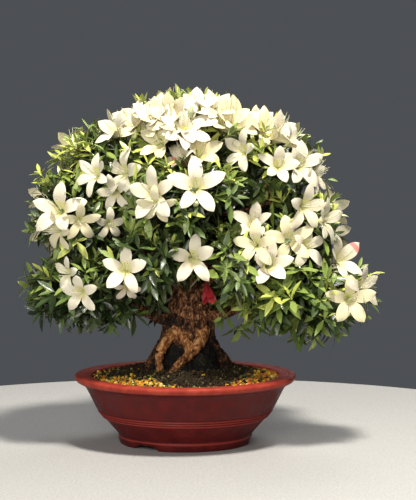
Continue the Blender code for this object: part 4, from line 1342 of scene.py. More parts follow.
def pot_profile():
    """The pot from its mouth over the rim, down the outside and up the inside: radius, height and rounding
    of each corner."""
    bands = []
    for k in range(2 * BAND_COUNT + 1):
        height = BAND_TOP - BAND_PITCH * k / 2
        proud = BAND_PROUD * (k % 2) - 0.0002
        bands.append((wall_radius(height) + proud, height, 0.0006 if k % 2 else 0.0002))
    wall = WALL_THICKNESS
    return rounded([
        (MOUTH_RADIUS + 0.0005, RIM_TOP - 0.001, 0.0015),
        (0.1478, RIM_TOP, 0.0006),
        (0.1486, RIM_TOP - 0.0007, 0.0005),
        (0.1494, RIM_TOP, 0.0006),
        (RIM_RADIUS - 0.0008, RIM_TOP - 0.0006, 0.0022),
        (RIM_RADIUS, RIM_TOP - 0.0045, 0.0022),
        (RIM_RADIUS - 0.0028, RIM_TOP - 0.0088, 0.0022),
        (WALL_TOP[0] + 0.0045, WALL_TOP[1] + 0.0050, 0.003),
        (WALL_TOP[0], WALL_TOP[1] - 0.001, 0.003),
        (WALL_KINK[0] + 0.0014, WALL_KINK[1] + 0.0018, 0.0012),
        *bands,
        (WALL_FOOT[0] - 0.0010, WALL_FOOT[1] + 0.0006, 0.002),
        (FOOT_RADIUS + 0.0022, FOOT_HEIGHT + 0.0004, 0.0008),
        (FOOT_RADIUS + 0.0020, FOOT_HEIGHT - 0.0035, 0.0012),
        (FOOT_RADIUS, 0.0, 0.0008),
        (FOOT_INNER_RADIUS, 0.0, 0.0008),
        (FOOT_INNER_RADIUS - 0.0015, FLOOR_UNDER, 0.002),
        (DRAIN_RADIUS, FLOOR_UNDER, 0.0015),
        (DRAIN_RADIUS, FLOOR_TOP, 0.0015),
        (wall_radius(FLOOR_TOP) - wall - 0.003, FLOOR_TOP, 0.003),
        (WALL_KINK[0] - wall, WALL_KINK[1], 0.003),
        (WALL_TOP[0] - wall, WALL_TOP[1], 0.002),
        (MOUTH_RADIUS, RIM_TOP - 0.003, 0.001),
    ])


def arch_lift():
    """How far the arches lift the foot's underside at each step round the pot."""
    bearing = 2 * np.pi * np.arange(POT_STEPS) / POT_STEPS
    lift = np.zeros(POT_STEPS)
    for index in range(ARCH_COUNT):
        middle = math.radians(ARCH_FIRST_DEG + index * 360 / ARCH_COUNT)
        turn = (bearing - middle + np.pi) % (2 * np.pi) - np.pi
        away = np.abs(turn) * FOOT_RADIUS / ARCH_HALF_WIDTH
        lift = np.maximum(lift, ARCH_HEIGHT * np.clip(1 - away**4, 0, 1))
    return lift


def pot_piece():
    """The pot: a turned wall under a flat rim with a fine groove, three ridges, and a foot ring with
    three arches."""
    rows = lathe(pot_profile(), POT_STEPS, True)
    lift = arch_lift()
    radius = np.hypot(rows[..., 0], rows[..., 1])
    foot = (rows[..., 2] < FOOT_HEIGHT) & (radius > FOOT_INNER_RADIUS - 0.001)
    rows[..., 2] = np.where(foot, lift + rows[..., 2] * (1 - lift / FOOT_HEIGHT), rows[..., 2])
    shapes = Shapes()
    shapes.add(rows.reshape(-1, 3), grid_faces(len(rows), POT_STEPS, True)[:, ::-1])
    pot = shapes.piece("clay_pot", [CLAY])
    # Painted highlight: a band on the outside along the crests of the ridges, the kink and the foot's top
    # edge
    outside = radius > wall_radius(rows[..., 2]) - 0.001
    crests = [BAND_TOP - BAND_PITCH * (k + 0.5) for k in range(BAND_COUNT)] + [WALL_KINK[1], FOOT_HEIGHT]
    near = np.min(np.abs(rows[..., 2:] - np.array(crests)), axis=-1) < CREST_HIGHLIGHT_WIDTH
    crest_highlight_mask = pot.data.attributes.new("crest_highlight", "FLOAT", "POINT")
    crest_highlight_mask.data.foreach_set("value", (near & outside).astype(float).ravel())
    return pot


def round_axis(radius, bearing):
    """Places (x, y) by distance from the pot's axis and bearing in radians."""
    return np.stack([radius * np.cos(bearing), radius * np.sin(bearing)], axis=-1)


def soil_height(radius):
    """The height of the soil's top at a distance from the pot's axis."""
    return np.interp(radius, SOIL_RADII, SOIL_HEIGHTS)


def flat_noise(points, scale, level):
    """A level of noise at places (x, y), finer for a larger scale."""
    return np.array([noise.noise(Vector((x * scale, y * scale, level))) for x, y in points])


def ground(points):
    """The height of the uneven soil at places (x, y)."""
    radius = np.hypot(points[:, 0], points[:, 1])
    lumps = flat_noise(points, LUMP_SCALE, 3.0) + FINE_LUMPS * flat_noise(points, FINE_LUMP_SCALE, 7.0)
    return soil_height(radius) + LUMP_HEIGHT * lumps


def soil_piece():
    """The soil: an uneven mound, closed below by the shape of the pot's inside."""
    radii = np.linspace(SOIL_FROM_AXIS, MOUTH_RADIUS - SOIL_FROM_MOUTH, SOIL_RINGS)
    inner = WALL_THICKNESS + SOIL_FROM_WALL
    lowest = FLOOR_TOP + SOIL_FROM_FLOOR
    under = [
        (WALL_TOP[0] - inner, WALL_TOP[1]),
        (WALL_KINK[0] - inner, WALL_KINK[1]),
        (wall_radius(FLOOR_TOP) - inner - SOIL_LOWEST_IN, lowest),
        (SOIL_FROM_AXIS, lowest),
    ]
    profile = np.array([(r, 0) for r in radii] + under)
    rows = lathe(profile, SOIL_STEPS, False)
    top = rows[:len(radii)].reshape(-1, 3)
    top[:, 2] = ground(top[:, :2])
    rows[:len(radii)] = top.reshape(len(radii), SOIL_STEPS, 3)
    shapes = Shapes()
    shapes.add(rows.reshape(-1, 3), grid_faces(len(rows), SOIL_STEPS, True)[:, ::-1])
    return shapes.piece("earth", [EARTH])


def granule_shape():
    """A pebble of twenty faces, in unit size."""
    golden = (1 + 5 ** 0.5) / 2
    corners = unit([
        (-1, golden, 0), (1, golden, 0), (-1, -golden, 0), (1, -golden, 0), (0, -1, golden), (0, 1, golden),
        (0, -1, -golden), (0, 1, -golden), (golden, 0, -1), (golden, 0, 1), (-golden, 0, -1), (-golden, 0, 1),
    ])
    faces = np.array([
        (0, 11, 5), (0, 5, 1), (0, 1, 7), (0, 7, 10), (0, 10, 11), (1, 5, 9), (5, 11, 4), (11, 10, 2),
        (10, 7, 6), (7, 1, 8), (3, 9, 4), (3, 4, 2), (3, 2, 6), (3, 6, 8), (3, 8, 9), (4, 9, 5), (2, 4, 11),
        (6, 2, 10), (8, 6, 7), (9, 8, 1),
    ])
    return corners, faces


def granules_piece(rng):
    """Granules over the soil: pale and yellow towards the rim in front and to the right, with more orange
    ones there, and dark and olive near the trunk."""
    corners, faces = granule_shape()
    radius = np.sqrt(rng.uniform(GRANULES_FROM**2, (MOUTH_RADIUS - 0.002) ** 2, GRANULES))
    bearing = rng.uniform(-np.pi, np.pi, GRANULES)
    places = round_axis(radius, bearing)
    size = rng.uniform(*GRANULE_SIZE, GRANULES)
    height = ground(places) + size * rng.uniform(*GRANULE_LIES, GRANULES)
    patch = flat_noise(places, PATCH_SCALE, 11.0)
    start = np.full(GRANULES, PALE_FROM)
    for direction, spread, nearer in PALE_DIRECTIONS:
        facing = np.exp(-((np.degrees(bearing) - direction) / spread) ** 4)
        start -= nearer * facing
    light = np.clip((radius - start) / PALE_BLEND, *PALE_RANGE) + PALE_PATCHES * patch
    light += rng.normal(*PALE_STRAY, GRANULES)
    steps, tones = zip(*LIGHT_STEPS)
    tone = np.select([light > step for step in steps], tones, GRANULE_DARK)
    orange = rng.random(GRANULES) < ORANGE_SHARE + ORANGE_MORE * facing
    tone = np.where((tone < GRANULE_ORANGE) & orange, GRANULE_ORANGE, tone)
    turns = turns_along(rng.normal(size=(GRANULES, 3)), rng.normal(size=(GRANULES, 3)))
    shape = corners * rng.uniform(*GRANULE_UNEVEN, (GRANULES, len(corners), 1)) * GRANULE_FORM
    shapes = Shapes()
    shapes.add(put(shape, turns, np.column_stack([places, height]), size), faces, tone[:, None])
    return shapes.piece("granules", GRANULE_TONES, smooth=False)


def root_hairs(shapes, rng):
    """Fine dry root hairs over the mound in front."""
    bearing = np.radians(rng.normal(*HAIR_BEARING, ROOT_HAIRS))
    start = round_axis(rng.uniform(*HAIR_REACH, ROOT_HAIRS), bearing)
    way = rng.uniform(0, 2 * np.pi, ROOT_HAIRS)
    length = rng.uniform(*HAIR_LENGTH, ROOT_HAIRS)
    steps = np.linspace(0, 1, HAIR_POINTS)
    curl = rng.normal(0, HAIR_CURL, ROOT_HAIRS)
    heading = way[:, None] + curl[:, None] * steps
    flat = start[:, None, :] + (length[:, None] * steps)[..., None] * round_axis(1.0, heading)
    low = ground(flat.reshape(-1, 2)).reshape(ROOT_HAIRS, -1)
    arch = rng.uniform(*HAIR_ARCH, ROOT_HAIRS)[:, None] * np.sin(np.pi * steps)
    lines = np.concatenate([flat, (low + HAIR_LIFT + arch)[..., None]], axis=-1)
    tubes(shapes, lines, np.full((ROOT_HAIRS, HAIR_POINTS), HAIR_RADIUS), 3, 0)


def moss(shapes, rng):
    """Short blades of moss round the trunk."""
    bearing = rng.uniform(-np.pi, np.pi, MOSS_BLADES)
    place = round_axis(rng.normal(*MOSS_REACH, MOSS_BLADES), bearing)
    blade = np.array([(-0.25, 0, 0), (0.25, 0, 0), (0.15, 0.1, 0.6), (0, 0.3, 1.0), (-0.15, 0.1, 0.6)])
    level = np.column_stack([rng.normal(size=(MOSS_BLADES, 2)), np.zeros(MOSS_BLADES)])
    places = np.column_stack([place, ground(place)])
    blades = put(blade, turns_along(level, (0.0, 0.0, 1.0)), places, rng.uniform(*MOSS_LENGTH, MOSS_BLADES))
    shapes.add(blades, np.array([(0, 1, 2), (0, 2, 4), (4, 2, 3)]), 1)


def hairs_and_moss_piece(rng):
    """Root hairs and moss on the soil."""
    shapes = Shapes()
    root_hairs(shapes, rng)
    moss(shapes, rng)
    return shapes.piece("root_hairs_and_moss", [ROOT_HAIR, MOSS])


# Trunk and boughs


def closed_tube(shapes, line, radii, sides):
    """A tube that tapers shut at both ends."""
    line = np.asarray(line, float)
    line = np.concatenate([line[:1], line, line[-1:]])
    radii = np.concatenate([[SHUT], radii, [SHUT]])
    turns = ring_turns(np.concatenate([line[1:2], line[1:-1], line[-2:-1]])[:, :3])
    turns[0], turns[-1] = turns[1], turns[-2]
    points = np.einsum("nij,kj->nki", turns, ring(sides)) * radii[:, None, None] + line[:, None, :3]
    shapes.add(points.reshape(-1, 3), grid_faces(len(line), sides, True))


def bough_spine(name):
    """The bough carried on to the middle of its mass: points and radii."""
    if name in BOUGHS:
        points, radii = bough_route(name)
    else:
        stations = TRUNK_STATIONS[-3:]
        points = [trunk_at(station[0])[0] for station in stations]
        radii = [station[3] for station in stations]
    centre = mass_centre(name)
    points = [*points, points[-1].lerp(centre, INNER_SHARE), centre.copy()]
    radii = [*radii, *(radii[-1] * thin for thin in INNER_THIN)]
    return np.array([tuple(point) for point in points]), np.array(radii)


def bark_relief(point):
    """How far the bark stands in or out at a point: furrows and lumps in a share of one."""
    long_way = Vector([at * scale for at, scale in zip(point, FURROW_SCALE)])
    furrows = noise.ridged_multi_fractal(long_way, 0.8, 2.2, 4, 1.0, 2.0) / 1.6 - 0.55
    lumps = noise.noise(Vector(point) * LUMPS_SCALE)
    knots = noise.noise(Vector(point) * KNOTS_SCALE + Vector((3, 5, 7)))
    fine = noise.noise(Vector(point) * FINE_SCALE)
    return FURROW_SHARE * furrows + LUMPS_SHARE * lumps + KNOTS_SHARE * knots + FINE_SHARE * fine


def beside(points, line):
    """How far each point is from the skin of a root, by the points and radii along the root."""
    return np.min(np.linalg.norm(points[:, None, :] - line[None, :, :3], axis=-1) - line[None, :, 3], axis=1)


def trunk_shape(shapes):
    """The trunk with its surface roots, ring by ring, shut at both ends."""
    bearing = 2 * np.pi * np.arange(TRUNK_SIDES) / TRUNK_SIDES
    top = TRUNK_STATIONS[-1][0]
    heights = np.concatenate([[TRUNK_FOOT], np.linspace(TRUNK_FOOT, top, TRUNK_RINGS), [top]])
    rings = []
    for index, height in enumerate(heights):
        centre, radius = trunk_at(height)
        ends = index in (0, len(heights) - 1)
        out = [SHUT if ends else radius + flare(height, angle) for angle in bearing]
        across, back = centre.x + out * np.cos(bearing), centre.y + out * np.sin(bearing)
        rings.append(np.stack([across, back, np.full(TRUNK_SIDES, height)], axis=-1))
    shapes.add(np.concatenate(rings), grid_faces(len(rings), TRUNK_SIDES, True))


def limb_lines():
    """The arched roots, the branches that show and the boughs, each as a fine line of points and radii."""
    arched = [smooth_line(rows, LIMB_STEPS) * (1, 1, 1, ARCH_SLIM) for rows in ARCHED_ROOTS]
    showing = [smooth_line(rows, LIMB_STEPS) for rows in SHOWING_BRANCHES]
    boughs = [smooth_line(np.column_stack(bough_spine(name)), BOUGH_STEPS) for name in MASSES]
    return arched, showing, boughs


def skinned(shapes):
    """One even skin over shapes that pass through each other."""
    rough = linked("rough_trunk", shapes.mesh("rough_trunk"))
    skin = rough.modifiers.new("skin", "REMESH")
    skin.mode = "VOXEL"
    skin.voxel_size = BARK_VOXEL
    even = rough.modifiers.new("even", "SMOOTH")
    even.factor = 0.5
    even.iterations = 2
    bpy.context.view_layer.update()
    mesh = bpy.data.meshes.new_from_object(rough.evaluated_get(bpy.context.evaluated_depsgraph_get()))
    bpy.data.objects.remove(rough, do_unlink=True)
    return mesh


def painted_bark_shade(points, from_arch, showing):
    """Painted shade on the bark at each point: in the hollow, low down, and on the branches that show."""
    painted_shade = np.clip(1.5 - np.linalg.norm((points - HOLLOW_SHADE[0]) / HOLLOW_SHADE[1], axis=1), 0, 1)
    painted_shade = np.maximum(painted_shade, np.clip((LOW_SHADE_TOP - points[:, 2]) / LOW_SHADE_FADE, 0, 1))
    painted_shade *= np.clip(from_arch / UNSHADED_ARCH_REACH, 0, 1)
    return np.maximum(painted_shade, SHOWING_SHADE * (beside(points, showing) < SHOWING_REACH))


def bark_slots(places, arched):
    """Which bark each face has: 0 for brown, 1 for the red of the roots, and 2 for mossy."""
    angle = np.degrees(np.arctan2(places[:, 1], places[:, 0]))
    reach = np.hypot(places[:, 0], places[:, 1])
    blotch = cloud(places, BLOTCH_SCALE)
    mossy = (places[:, 2] + MOSSY_UNEVEN * blotch < MOSSY_TOP) & (reach > MOSSY_FROM)
    mossy &= (angle > MOSSY_BEARINGS[0]) & (angle < MOSSY_BEARINGS[1])
    low_root = (places[:, 2] + RED_BARK_UNEVEN * blotch < RED_BARK_TOP) & ~mossy & (blotch > -0.1)
    return np.select([beside(places, arched) < RED_BARK_REACH, mossy, low_root], [1, 2, 1], 0)


def trunk_piece():
    """The trunk with its roots, and the boughs: one skin over all, with the relief of bark."""
    shapes = Shapes()
    trunk_shape(shapes)
    arched, showing, boughs = limb_lines()
    for lines, sides in zip((arched, showing, boughs), LIMB_SIDES):
        for line in lines:
            closed_tube(shapes, line[:, :3], line[:, 3], sides)
    mesh = skinned(shapes)
    points = triples(mesh.vertices, "co") - AXIS
    normals = triples(mesh.vertices, "normal")
    _, girth = to_limbs(points)
    relief = np.array([bark_relief(point) for point in points])
    arched = np.concatenate(arched)
    from_arch = beside(points, arched)
    depth = np.clip(girth / THICKEST, THINNEST_SHARE, 1.0) * BARK_DEPTH
    depth *= np.where(from_arch < ARCH_SMOOTH_REACH, ARCH_SMOOTH, 1)
    foot = np.clip((points[:, 2] - TRUNK_FOOT) / FOOT_FADE, FOOT_SHARE, 1)
    moved = points + normals * (relief * depth * foot)[:, None]
    moved[:, 2] = np.maximum(moved[:, 2], TRUNK_FOOT - FOOT_BELOW)
    mesh.vertices.foreach_set("co", (moved + AXIS).ravel())
    painted_shade = painted_bark_shade(points, from_arch, np.concatenate(showing))
    # The relief kept for the bark's colour is its furrows less the painted shade
    shade = mesh.attributes.new("relief", "FLOAT", "POINT")
    shade.data.foreach_set("value", np.clip(0.5 + relief - PAINTED_SHADE_DEPTH * painted_shade, 0, 1).astype(np.float32))
    slots = bark_slots(triples(mesh.polygons, "center") - AXIS, arched)
    mesh.materials.clear()
    for material in BARKS:
        mesh.materials.append(material)
    mesh.polygons.foreach_set("material_index", slots.astype(np.int32))
    mesh.polygons.foreach_set("use_smooth", np.ones(len(slots), bool))
    mesh.update()
    mesh.name = "trunk_and_boughs"
    return linked("trunk_and_boughs", mesh)


# Blossoms


def blossom_frames(blossoms):
    """Places, radii and turns of the blossoms, Z along the face and X towards the top."""
    facing = unit([tuple(blossom.facing) for blossom in blossoms])
    upward = np.clip(facing[:, 2], 0, 1)
    widths = np.array([blossom.radius for blossom in blossoms])
    radii = widths * (PETAL_GROWTH[0] + PETAL_GROWTH[1] * upward)
    cupped = CUPPING[0] + CUPPING[1] * upward
    places = np.array([tuple(blossom.place) for blossom in blossoms])
    places -= facing * (SET_BACK * radii * cupped)[:, None]
    up = (0.0, 0.0, 1.0) - facing * facing[:, 2:]
    flat = np.linalg.norm(up, axis=1) < 0.2
    up[flat] = unit(np.cross(facing[flat], (1.0, 0.0, 0.0)))
    up = unit(up)
    return places, radii, np.stack([up, np.cross(facing, up), facing], axis=-1), cupped


def round_heart(out, side, rise, bearing):
    """The points of a petal turned to its bearing round the heart of its blossom."""
    return np.stack([
        out * np.cos(bearing) - side * np.sin(bearing),
        out * np.sin(bearing) + side * np.cos(bearing),
        rise,
    ], axis=-1).reshape(-1, 3)


def curled_petal(rows, columns, bearing, raised, widened, rng):
    """One petal of unit size, bent up at its hinge and curled and waved in its own way."""
    bearing = bearing + rng.normal(0, PETAL_BEARING_STRAY)
    reach = rng.uniform(*PETAL_LENGTHS)
    width = rng.uniform(*PETAL_WIDTHS) * widened
    pitch = raised + rng.normal(0, PETAL_PITCH_STRAY)
    bend = rng.normal(*PETAL_BEND)
    wave = rng.uniform(*PETAL_WAVE)
    phase = rng.uniform(0, 6.28)
    share = rows[:, :1]
    hinge_share, hinge_out, hinge_rise = PETAL_ROWS[HINGE_ROW][:3]
    past = np.clip(share - hinge_share, 0, None)
    turn_up = np.where(past > 0, pitch + bend * past * PETAL_BENDS, 0)
    out, rise = (rows[:, 1:2] - hinge_out) * reach, (rows[:, 2:3] - hinge_rise) * reach
    lean = hinge_out + out * np.cos(turn_up) - rise * np.sin(turn_up) * (past > 0)
    rise = hinge_rise + rise * np.cos(turn_up) + out * np.sin(turn_up)
    half = rows[:, 3:4] * width
    rise = rise + (EDGE_AT_BASE - EDGE_LESS * share) * half * columns**2
    rise = rise + wave * np.sin(WAVE_RADIANS * share + phase) * columns * (share > WAVE_FROM)
    side = half * columns + BENT_ASIDE * bend * share**2
    return round_heart(lean, side, rise, bearing)


def petal_slots(stretch, petal, hue, flushed):
    """The colour of each face of a petal, by the stretch that it lies in: throat, heart, and white or
    cream, with a pink flush on one stretch of a few."""
    slots = np.where(stretch < 1, THROAT, np.where(stretch < 2 + (petal == 0), HEART, hue))
    slots = np.where((slots < CREAM) & (stretch < 3), CREAM, slots)
    return slots if flushed is None else np.where(stretch == flushed, BLUSH, slots)


def petals_piece(blossoms, rng):
    """Every blossom's petals, five or six to each, and the spent flower's."""
    places, radii, turns, cupped = blossom_frames(blossoms)
    rows = smooth_line(PETAL_ROWS, 2)
    columns = np.array(PETAL_COLUMNS)
    faces = grid_faces(len(rows), len(columns), False)
    stretch = np.repeat(np.arange(len(rows) - 1) // 2, len(columns) - 1)
    shapes = Shapes()
    for index, (place, radius, turn) in enumerate(zip(places, radii, turns)):
        count = 6 if rng.random() < SIX_PETALS else 5
        spin = rng.normal(0, TURN_STRAY)
        raised = cupped[index] + rng.normal(0.0, CUPPING_STRAY)
        hue = rng.choice(2, p=WHITE_AND_CREAM)
        for petal in range(count):
            bearing = 2 * np.pi * petal / count + spin
            local = curled_petal(rows, columns, bearing, raised, (5 / count) ** 0.5, rng)
            slots = petal_slots(stretch, petal, hue, FLUSHED.get((index, petal)))
            shapes.add(place + radius * local @ turn.T, faces, slots[None])
    spent_flower(shapes, faces, rows, columns, rng)
    return shapes.piece("petals", PETALS)


def spent_flower(shapes, faces, rows, columns, rng):
    """One small red flower hanging, half closed, beside the trunk."""
    facing = unit(SPENT_FACING)
    up = unit(np.cross(facing, (1.0, 0.2, 0.0)))
    turn = np.stack([up, np.cross(facing, up), facing], axis=-1)
    for petal in range(5):
        bearing = 2 * np.pi * petal / 5 + rng.normal(0, 0.1)
        rise = (rows[:, :1] - 0.5) * SPENT_LONG + SPENT_EDGE * rows[:, 3:4] * columns**2
        local = round_heart(rows[:, 1:2] * SPENT_OPEN, rows[:, 3:4] * SPENT_WIDE * columns, rise, bearing)
        shapes.add(np.array(SPENT_FLOWER) + SPENT_SIZE * local @ turn.T, faces, RED)


def stamens(shapes, blossoms, rng):
    """The stamens of every blossom, the first one its longer and thicker pistil, each with its tip."""
    places, radii, turns, _ = blossom_frames(blossoms)
    count = len(blossoms) * STAMENS
    blossom = np.repeat(np.arange(len(blossoms)), STAMENS)
    first = np.arange(count) % STAMENS == 0
    radius, turn = radii[blossom], turns[blossom]
    up, side, facing = turn[..., 0], turn[..., 1], turn[..., 2]
    bearing = rng.uniform(0, 2 * np.pi, count)
    spread = rng.uniform(*STAMEN_SPREAD, count)
    length = rng.uniform(*STAMEN_LENGTH, count) * radius
    length[first] *= PISTIL_LONGER
    out = up * np.cos(bearing)[:, None] + side * np.sin(bearing)[:, None]
    way = facing + out * spread[:, None]
    steps = np.linspace(0, 1, STAMEN_POINTS)[None, :, None]
    lift = up * rng.uniform(*STAMEN_LIFT, (count, 1))
    start = places[blossom] - facing * (STAMEN_START * radius)[:, None]
    curve = way[:, None, :] * steps + lift[:, None, :] * steps**2
    lines = start[:, None, :] + length[:, None, None] * curve
    thick = np.where(first, PISTIL_RADIUS, STAMEN_RADIUS)
    tapered = thick[:, None] * np.linspace(*STAMEN_TAPER, STAMEN_POINTS)
    tubes(shapes, lines, tapered, 3, np.where(first, 2, 0)[:, None])
    corners = np.array([(1, 0, 0), (-1, 0, 0), (0, 0.6, 0), (0, -0.6, 0), (0, 0, 0.6), (0, 0, -0.6)])
    faces = np.array([(0, 2, 4), (2, 1, 4), (1, 3, 4), (3, 0, 4), (2, 0, 5), (1, 2, 5), (3, 1, 5), (0, 3, 5)])
    turns = turns_along(rng.normal(size=(count, 3)), rng.normal(size=(count, 3)))
    shapes.add(put(corners, turns, lines[:, -1], rng.uniform(*ANTHER_SIZE, count)), faces, 1)


def stamens_piece(blossoms, buds, rng):
    """The stamens and pistil of every blossom, and the buds."""
    shapes = Shapes()
    stamens(shapes, blossoms, rng)
    share = np.linspace(0, 1, len(BUD_SHAPE))
    width = np.array(BUD_SHAPE)
    for place, way, size in buds:
        line = np.asarray(place) + np.asarray(way) * (size * share)[:, None]
        tubes(shapes, line[None], (width * size)[None], 6, 3)
    return shapes.piece("stamens_and_buds", [FILAMENT, ANTHER, PISTIL, BUD])


# Leaves


def leaf_shape(half_width, fold, droop, twist):
    """A pointed leaf of unit length along X, folded along its midrib and bent down towards its tip: three
    corners across at each share of its length, and one at each end."""
    points = [(0.0, 0.0, 0.0)]
    for share, width in zip(LEAF_SHARES[1:-1], LEAF_WIDTHS):
        low = -droop * share**2
        for side in (-1, 0, 1):
            angle = twist * share
            across = side * width * half_width
            lift = abs(side) * fold * width * half_width
            points.append((share, across * math.cos(angle) - lift * math.sin(angle),
                           low + across * math.sin(angle) + lift * math.cos(angle)))
    points.append((1.0, 0.0, -droop))
    faces = [(0, 1, 2), (0, 2, 3)]
    for row in (1, 4):
        for k in (0, 1):
            a, b, c, d = row + k, row + k + 1, row + k + 4, row + k + 3
            faces += [(a, c, b), (a, d, c)]
    faces += [(7, 10, 8), (8, 10, 9)]
    return np.array(points), np.array(faces)


def clear_of_blossoms(points, blossoms, growth=1.0):
    """Whether each point stays out of the blossoms' open faces, and out of the sight of those in
    front."""
    clear = np.ones(len(points), bool)
    eye = np.array(FRONT_VIEW)
    spent = Blossom("", Vector(SPENT_FLOWER) - Vector((0, 0, SPENT_DROP)), Vector((0, -1, 0)), SPENT_CLEAR)
    for index, (_, place, facing, radius) in enumerate([spent, *blossoms]):
        offset = points - np.array(place)
        axial = offset @ np.array(facing)
        radial = np.linalg.norm(offset - axial[:, None] * np.array(facing), axis=1)
        beside_it = radial < FACE_CLEAR * radius * growth
        clear &= ~(beside_it & (axial > FACE_BEHIND * radius) & (axial < FACE_BEFORE * radius))
        if index <= len(FRONT_BLOSSOMS) and facing.z < FAN_RISE:
            sight = np.array(place) - eye
            far = np.linalg.norm(sight)
            along = (points - eye) @ (sight / far)
            aside = np.linalg.norm(points - eye - along[:, None] * sight / far, axis=1)
            clear &= ~((along < far + 0.002) & (aside < SIGHT_CLEAR * radius * growth))
    return clear


def in_openings(points):
    """Whether each point lies in one of the crown's openings, as seen from the front."""
    sight = points - np.array(FRONT_VIEW)
    plane = np.array(FRONT_VIEW) + sight * (-FRONT_VIEW.y / sight[:, 1])[:, None]
    inside = np.zeros(len(points), bool)
    for across, height, half_width, half_height in OPENINGS:
        inside |= ((plane[:, 0] - across) / half_width) ** 2 + ((plane[:, 2] - height) / half_height) ** 2 < 1
    return inside


def layer_tries(name, layer, blossoms, rng):
    """Places tried for the rosettes of one layer of a mass: the places, the surface's normal at each, and
    whether each is free."""
    centre, half = (np.array(row) for row in MASSES[name])
    outside = layer == 0
    way = unit(rng.normal(size=(LAYER_TRIES, 3)))
    swell = np.array([noise.noise(Vector(w) * 2.6 + Vector(centre) * 40) for w in way])
    depth = rng.uniform(*LAYERS[layer][0], LAYER_TRIES) * (1 + SURFACE_SWELL * swell)
    depth *= DRAWN_IN.get(name, 1.0)
    if outside:
        depth += LONG_SHOOT_REACH * (rng.random(LAYER_TRIES) < LONG_SHOOTS)
    places = centre + way * half * depth[:, None]
    normal = unit(way / half)
    away, _ = to_limbs(places)
    meeting = MEETING_DEPTH_OUTSIDE if outside else MEETING_DEPTH
    free = in_own_space(name, places) & (depths_in_crown(places, name) > meeting) & (away > OFF_LIMBS)
    if outside:
        free &= cloud(places, CLUSTER_SCALE) > CLUSTER_GAP
    free &= clear_of_blossoms(places, blossoms) & ~(in_openings(places) & (places[:, 1] < OPENING_BACK))
    free &= ~((normal[:, 2] < UNDERSIDE) & (rng.random(LAYER_TRIES) < UNDERSIDE_BARE))
    return places, normal, free


def rosettes_of(name, blossoms, rng):
    """The places, axes, leaf lengths, layers and greens of a mass's leaf rosettes."""
    found, ways, lengths, layers = [], [], [], []
    for layer, (_, spacing, length) in enumerate(LAYERS):
        places, normal, free = layer_tries(name, layer, blossoms, rng)
        kept = np.empty((0, 3))
        for k in np.flatnonzero(free):
            if len(kept) and np.min(np.sum((kept - places[k]) ** 2, axis=1)) < spacing**2:
                continue
            kept = np.concatenate([kept, places[k:k + 1]])
            found.append(places[k])
            steep = normal[k] * (1.0, 1.0, ROSETTE_DOWNWARD if normal[k][2] < 0 else 1.0)
            ways.append(steep + (0, 0, ROSETTE_RISE) + ROSETTE_STRAY * rng.normal(size=3))
            lengths.append(rng.uniform(*length) * LARGER.get(name, 1.0))
            layers.append(layer)
    ways = list(unit(ways))
    tones = rosette_tones(np.array(found), np.array(ways), np.array(layers), LIGHTER.get(name, 0), rng)
    tones = list(tones)
    for place, way, length, tone in SHOOTS.get(name, ()):
        found.append(np.array(place))
        ways.append(unit(way))
        lengths.append(length)
        layers.append(0)
        tones.append(tone)
    return np.array(found), unit(ways), np.array(lengths), np.array(layers), np.array(tones)


def rosette_tones(places, ways, layers, lighter, rng):
    """The green of each rosette, from 0, deep, to 4, lime: in clumps and by chance, with painted light
    outside, facing up and high up, and painted shade in the openings.
    """
    # Painted light and shade: lighter facing up and higher up, darker for each layer further in
    light = TONE_MIDDLE + TONE_UPWARD * ways[:, 2] + TONE_INWARD * layers
    light = light + TONE_CLUMPS * cloud(places, CLUMP_SCALE) + rng.normal(0, TONE_STRAY, len(places))
    light += lighter + TONE_HIGHER * (places[:, 2] - TONE_HEIGHT) - OPENING_SHADE * in_openings(places)
    lime = (places[:, 2] > YOUNG_ABOVE) | (lighter >= LIME_FROM)
    return np.clip(np.round(light), 0, np.where(lime, 4, 3)).astype(int)


def leaf_layout(places, ways, lengths, tones, young, rng):
    """Every leaf's base, direction, upper side, length and tone."""
    count = len(places)
    number = np.arange(LEAVES_IN_ROSETTE)[None, :]
    shape = (count, LEAVES_IN_ROSETTE)
    across = unit(np.cross(ways, rng.normal(size=(count, 3))))
    third = np.cross(ways, across)
    bearing = GOLDEN_TURN * number + rng.uniform(0, 6.28, (count, 1)) + rng.normal(0, BEARING_STRAY, shape)
    lean = np.radians(FIRST_LEAN + NEXT_LEAN * number + rng.normal(0, LEAN_STRAY, shape))
    lean = np.where(young[:, None], lean * YOUNG_LEAN, lean)
    side = across[:, None, :] * np.cos(bearing)[..., None] + third[:, None, :] * np.sin(bearing)[..., None]
    along = ways[:, None, :] * np.cos(lean)[..., None] + side * np.sin(lean)[..., None]
    along[..., 2] -= LEAVES_HANG
    base = places[:, None, :] + ways[:, None, :] * (FIRST_START + NEXT_START * number)[..., None]
    size = lengths[:, None] * (FIRST_SIZE + NEXT_SIZE * number) * rng.uniform(*SIZE_RANGE, shape)
    up = np.broadcast_to(ways[:, None, :] + (0.0, 0.0, 0.5), along.shape)
    tone = tones[:, None] + (number < 2) * (rng.random(shape) < FIRST_LIGHTER)
    tone = tone - (rng.random(shape) < LEAF_DARKER)
    return (base.reshape(-1, 3), unit(along).reshape(-1, 3), up.reshape(-1, 3), size.ravel(),
            np.clip(tone, 0, 4).ravel())


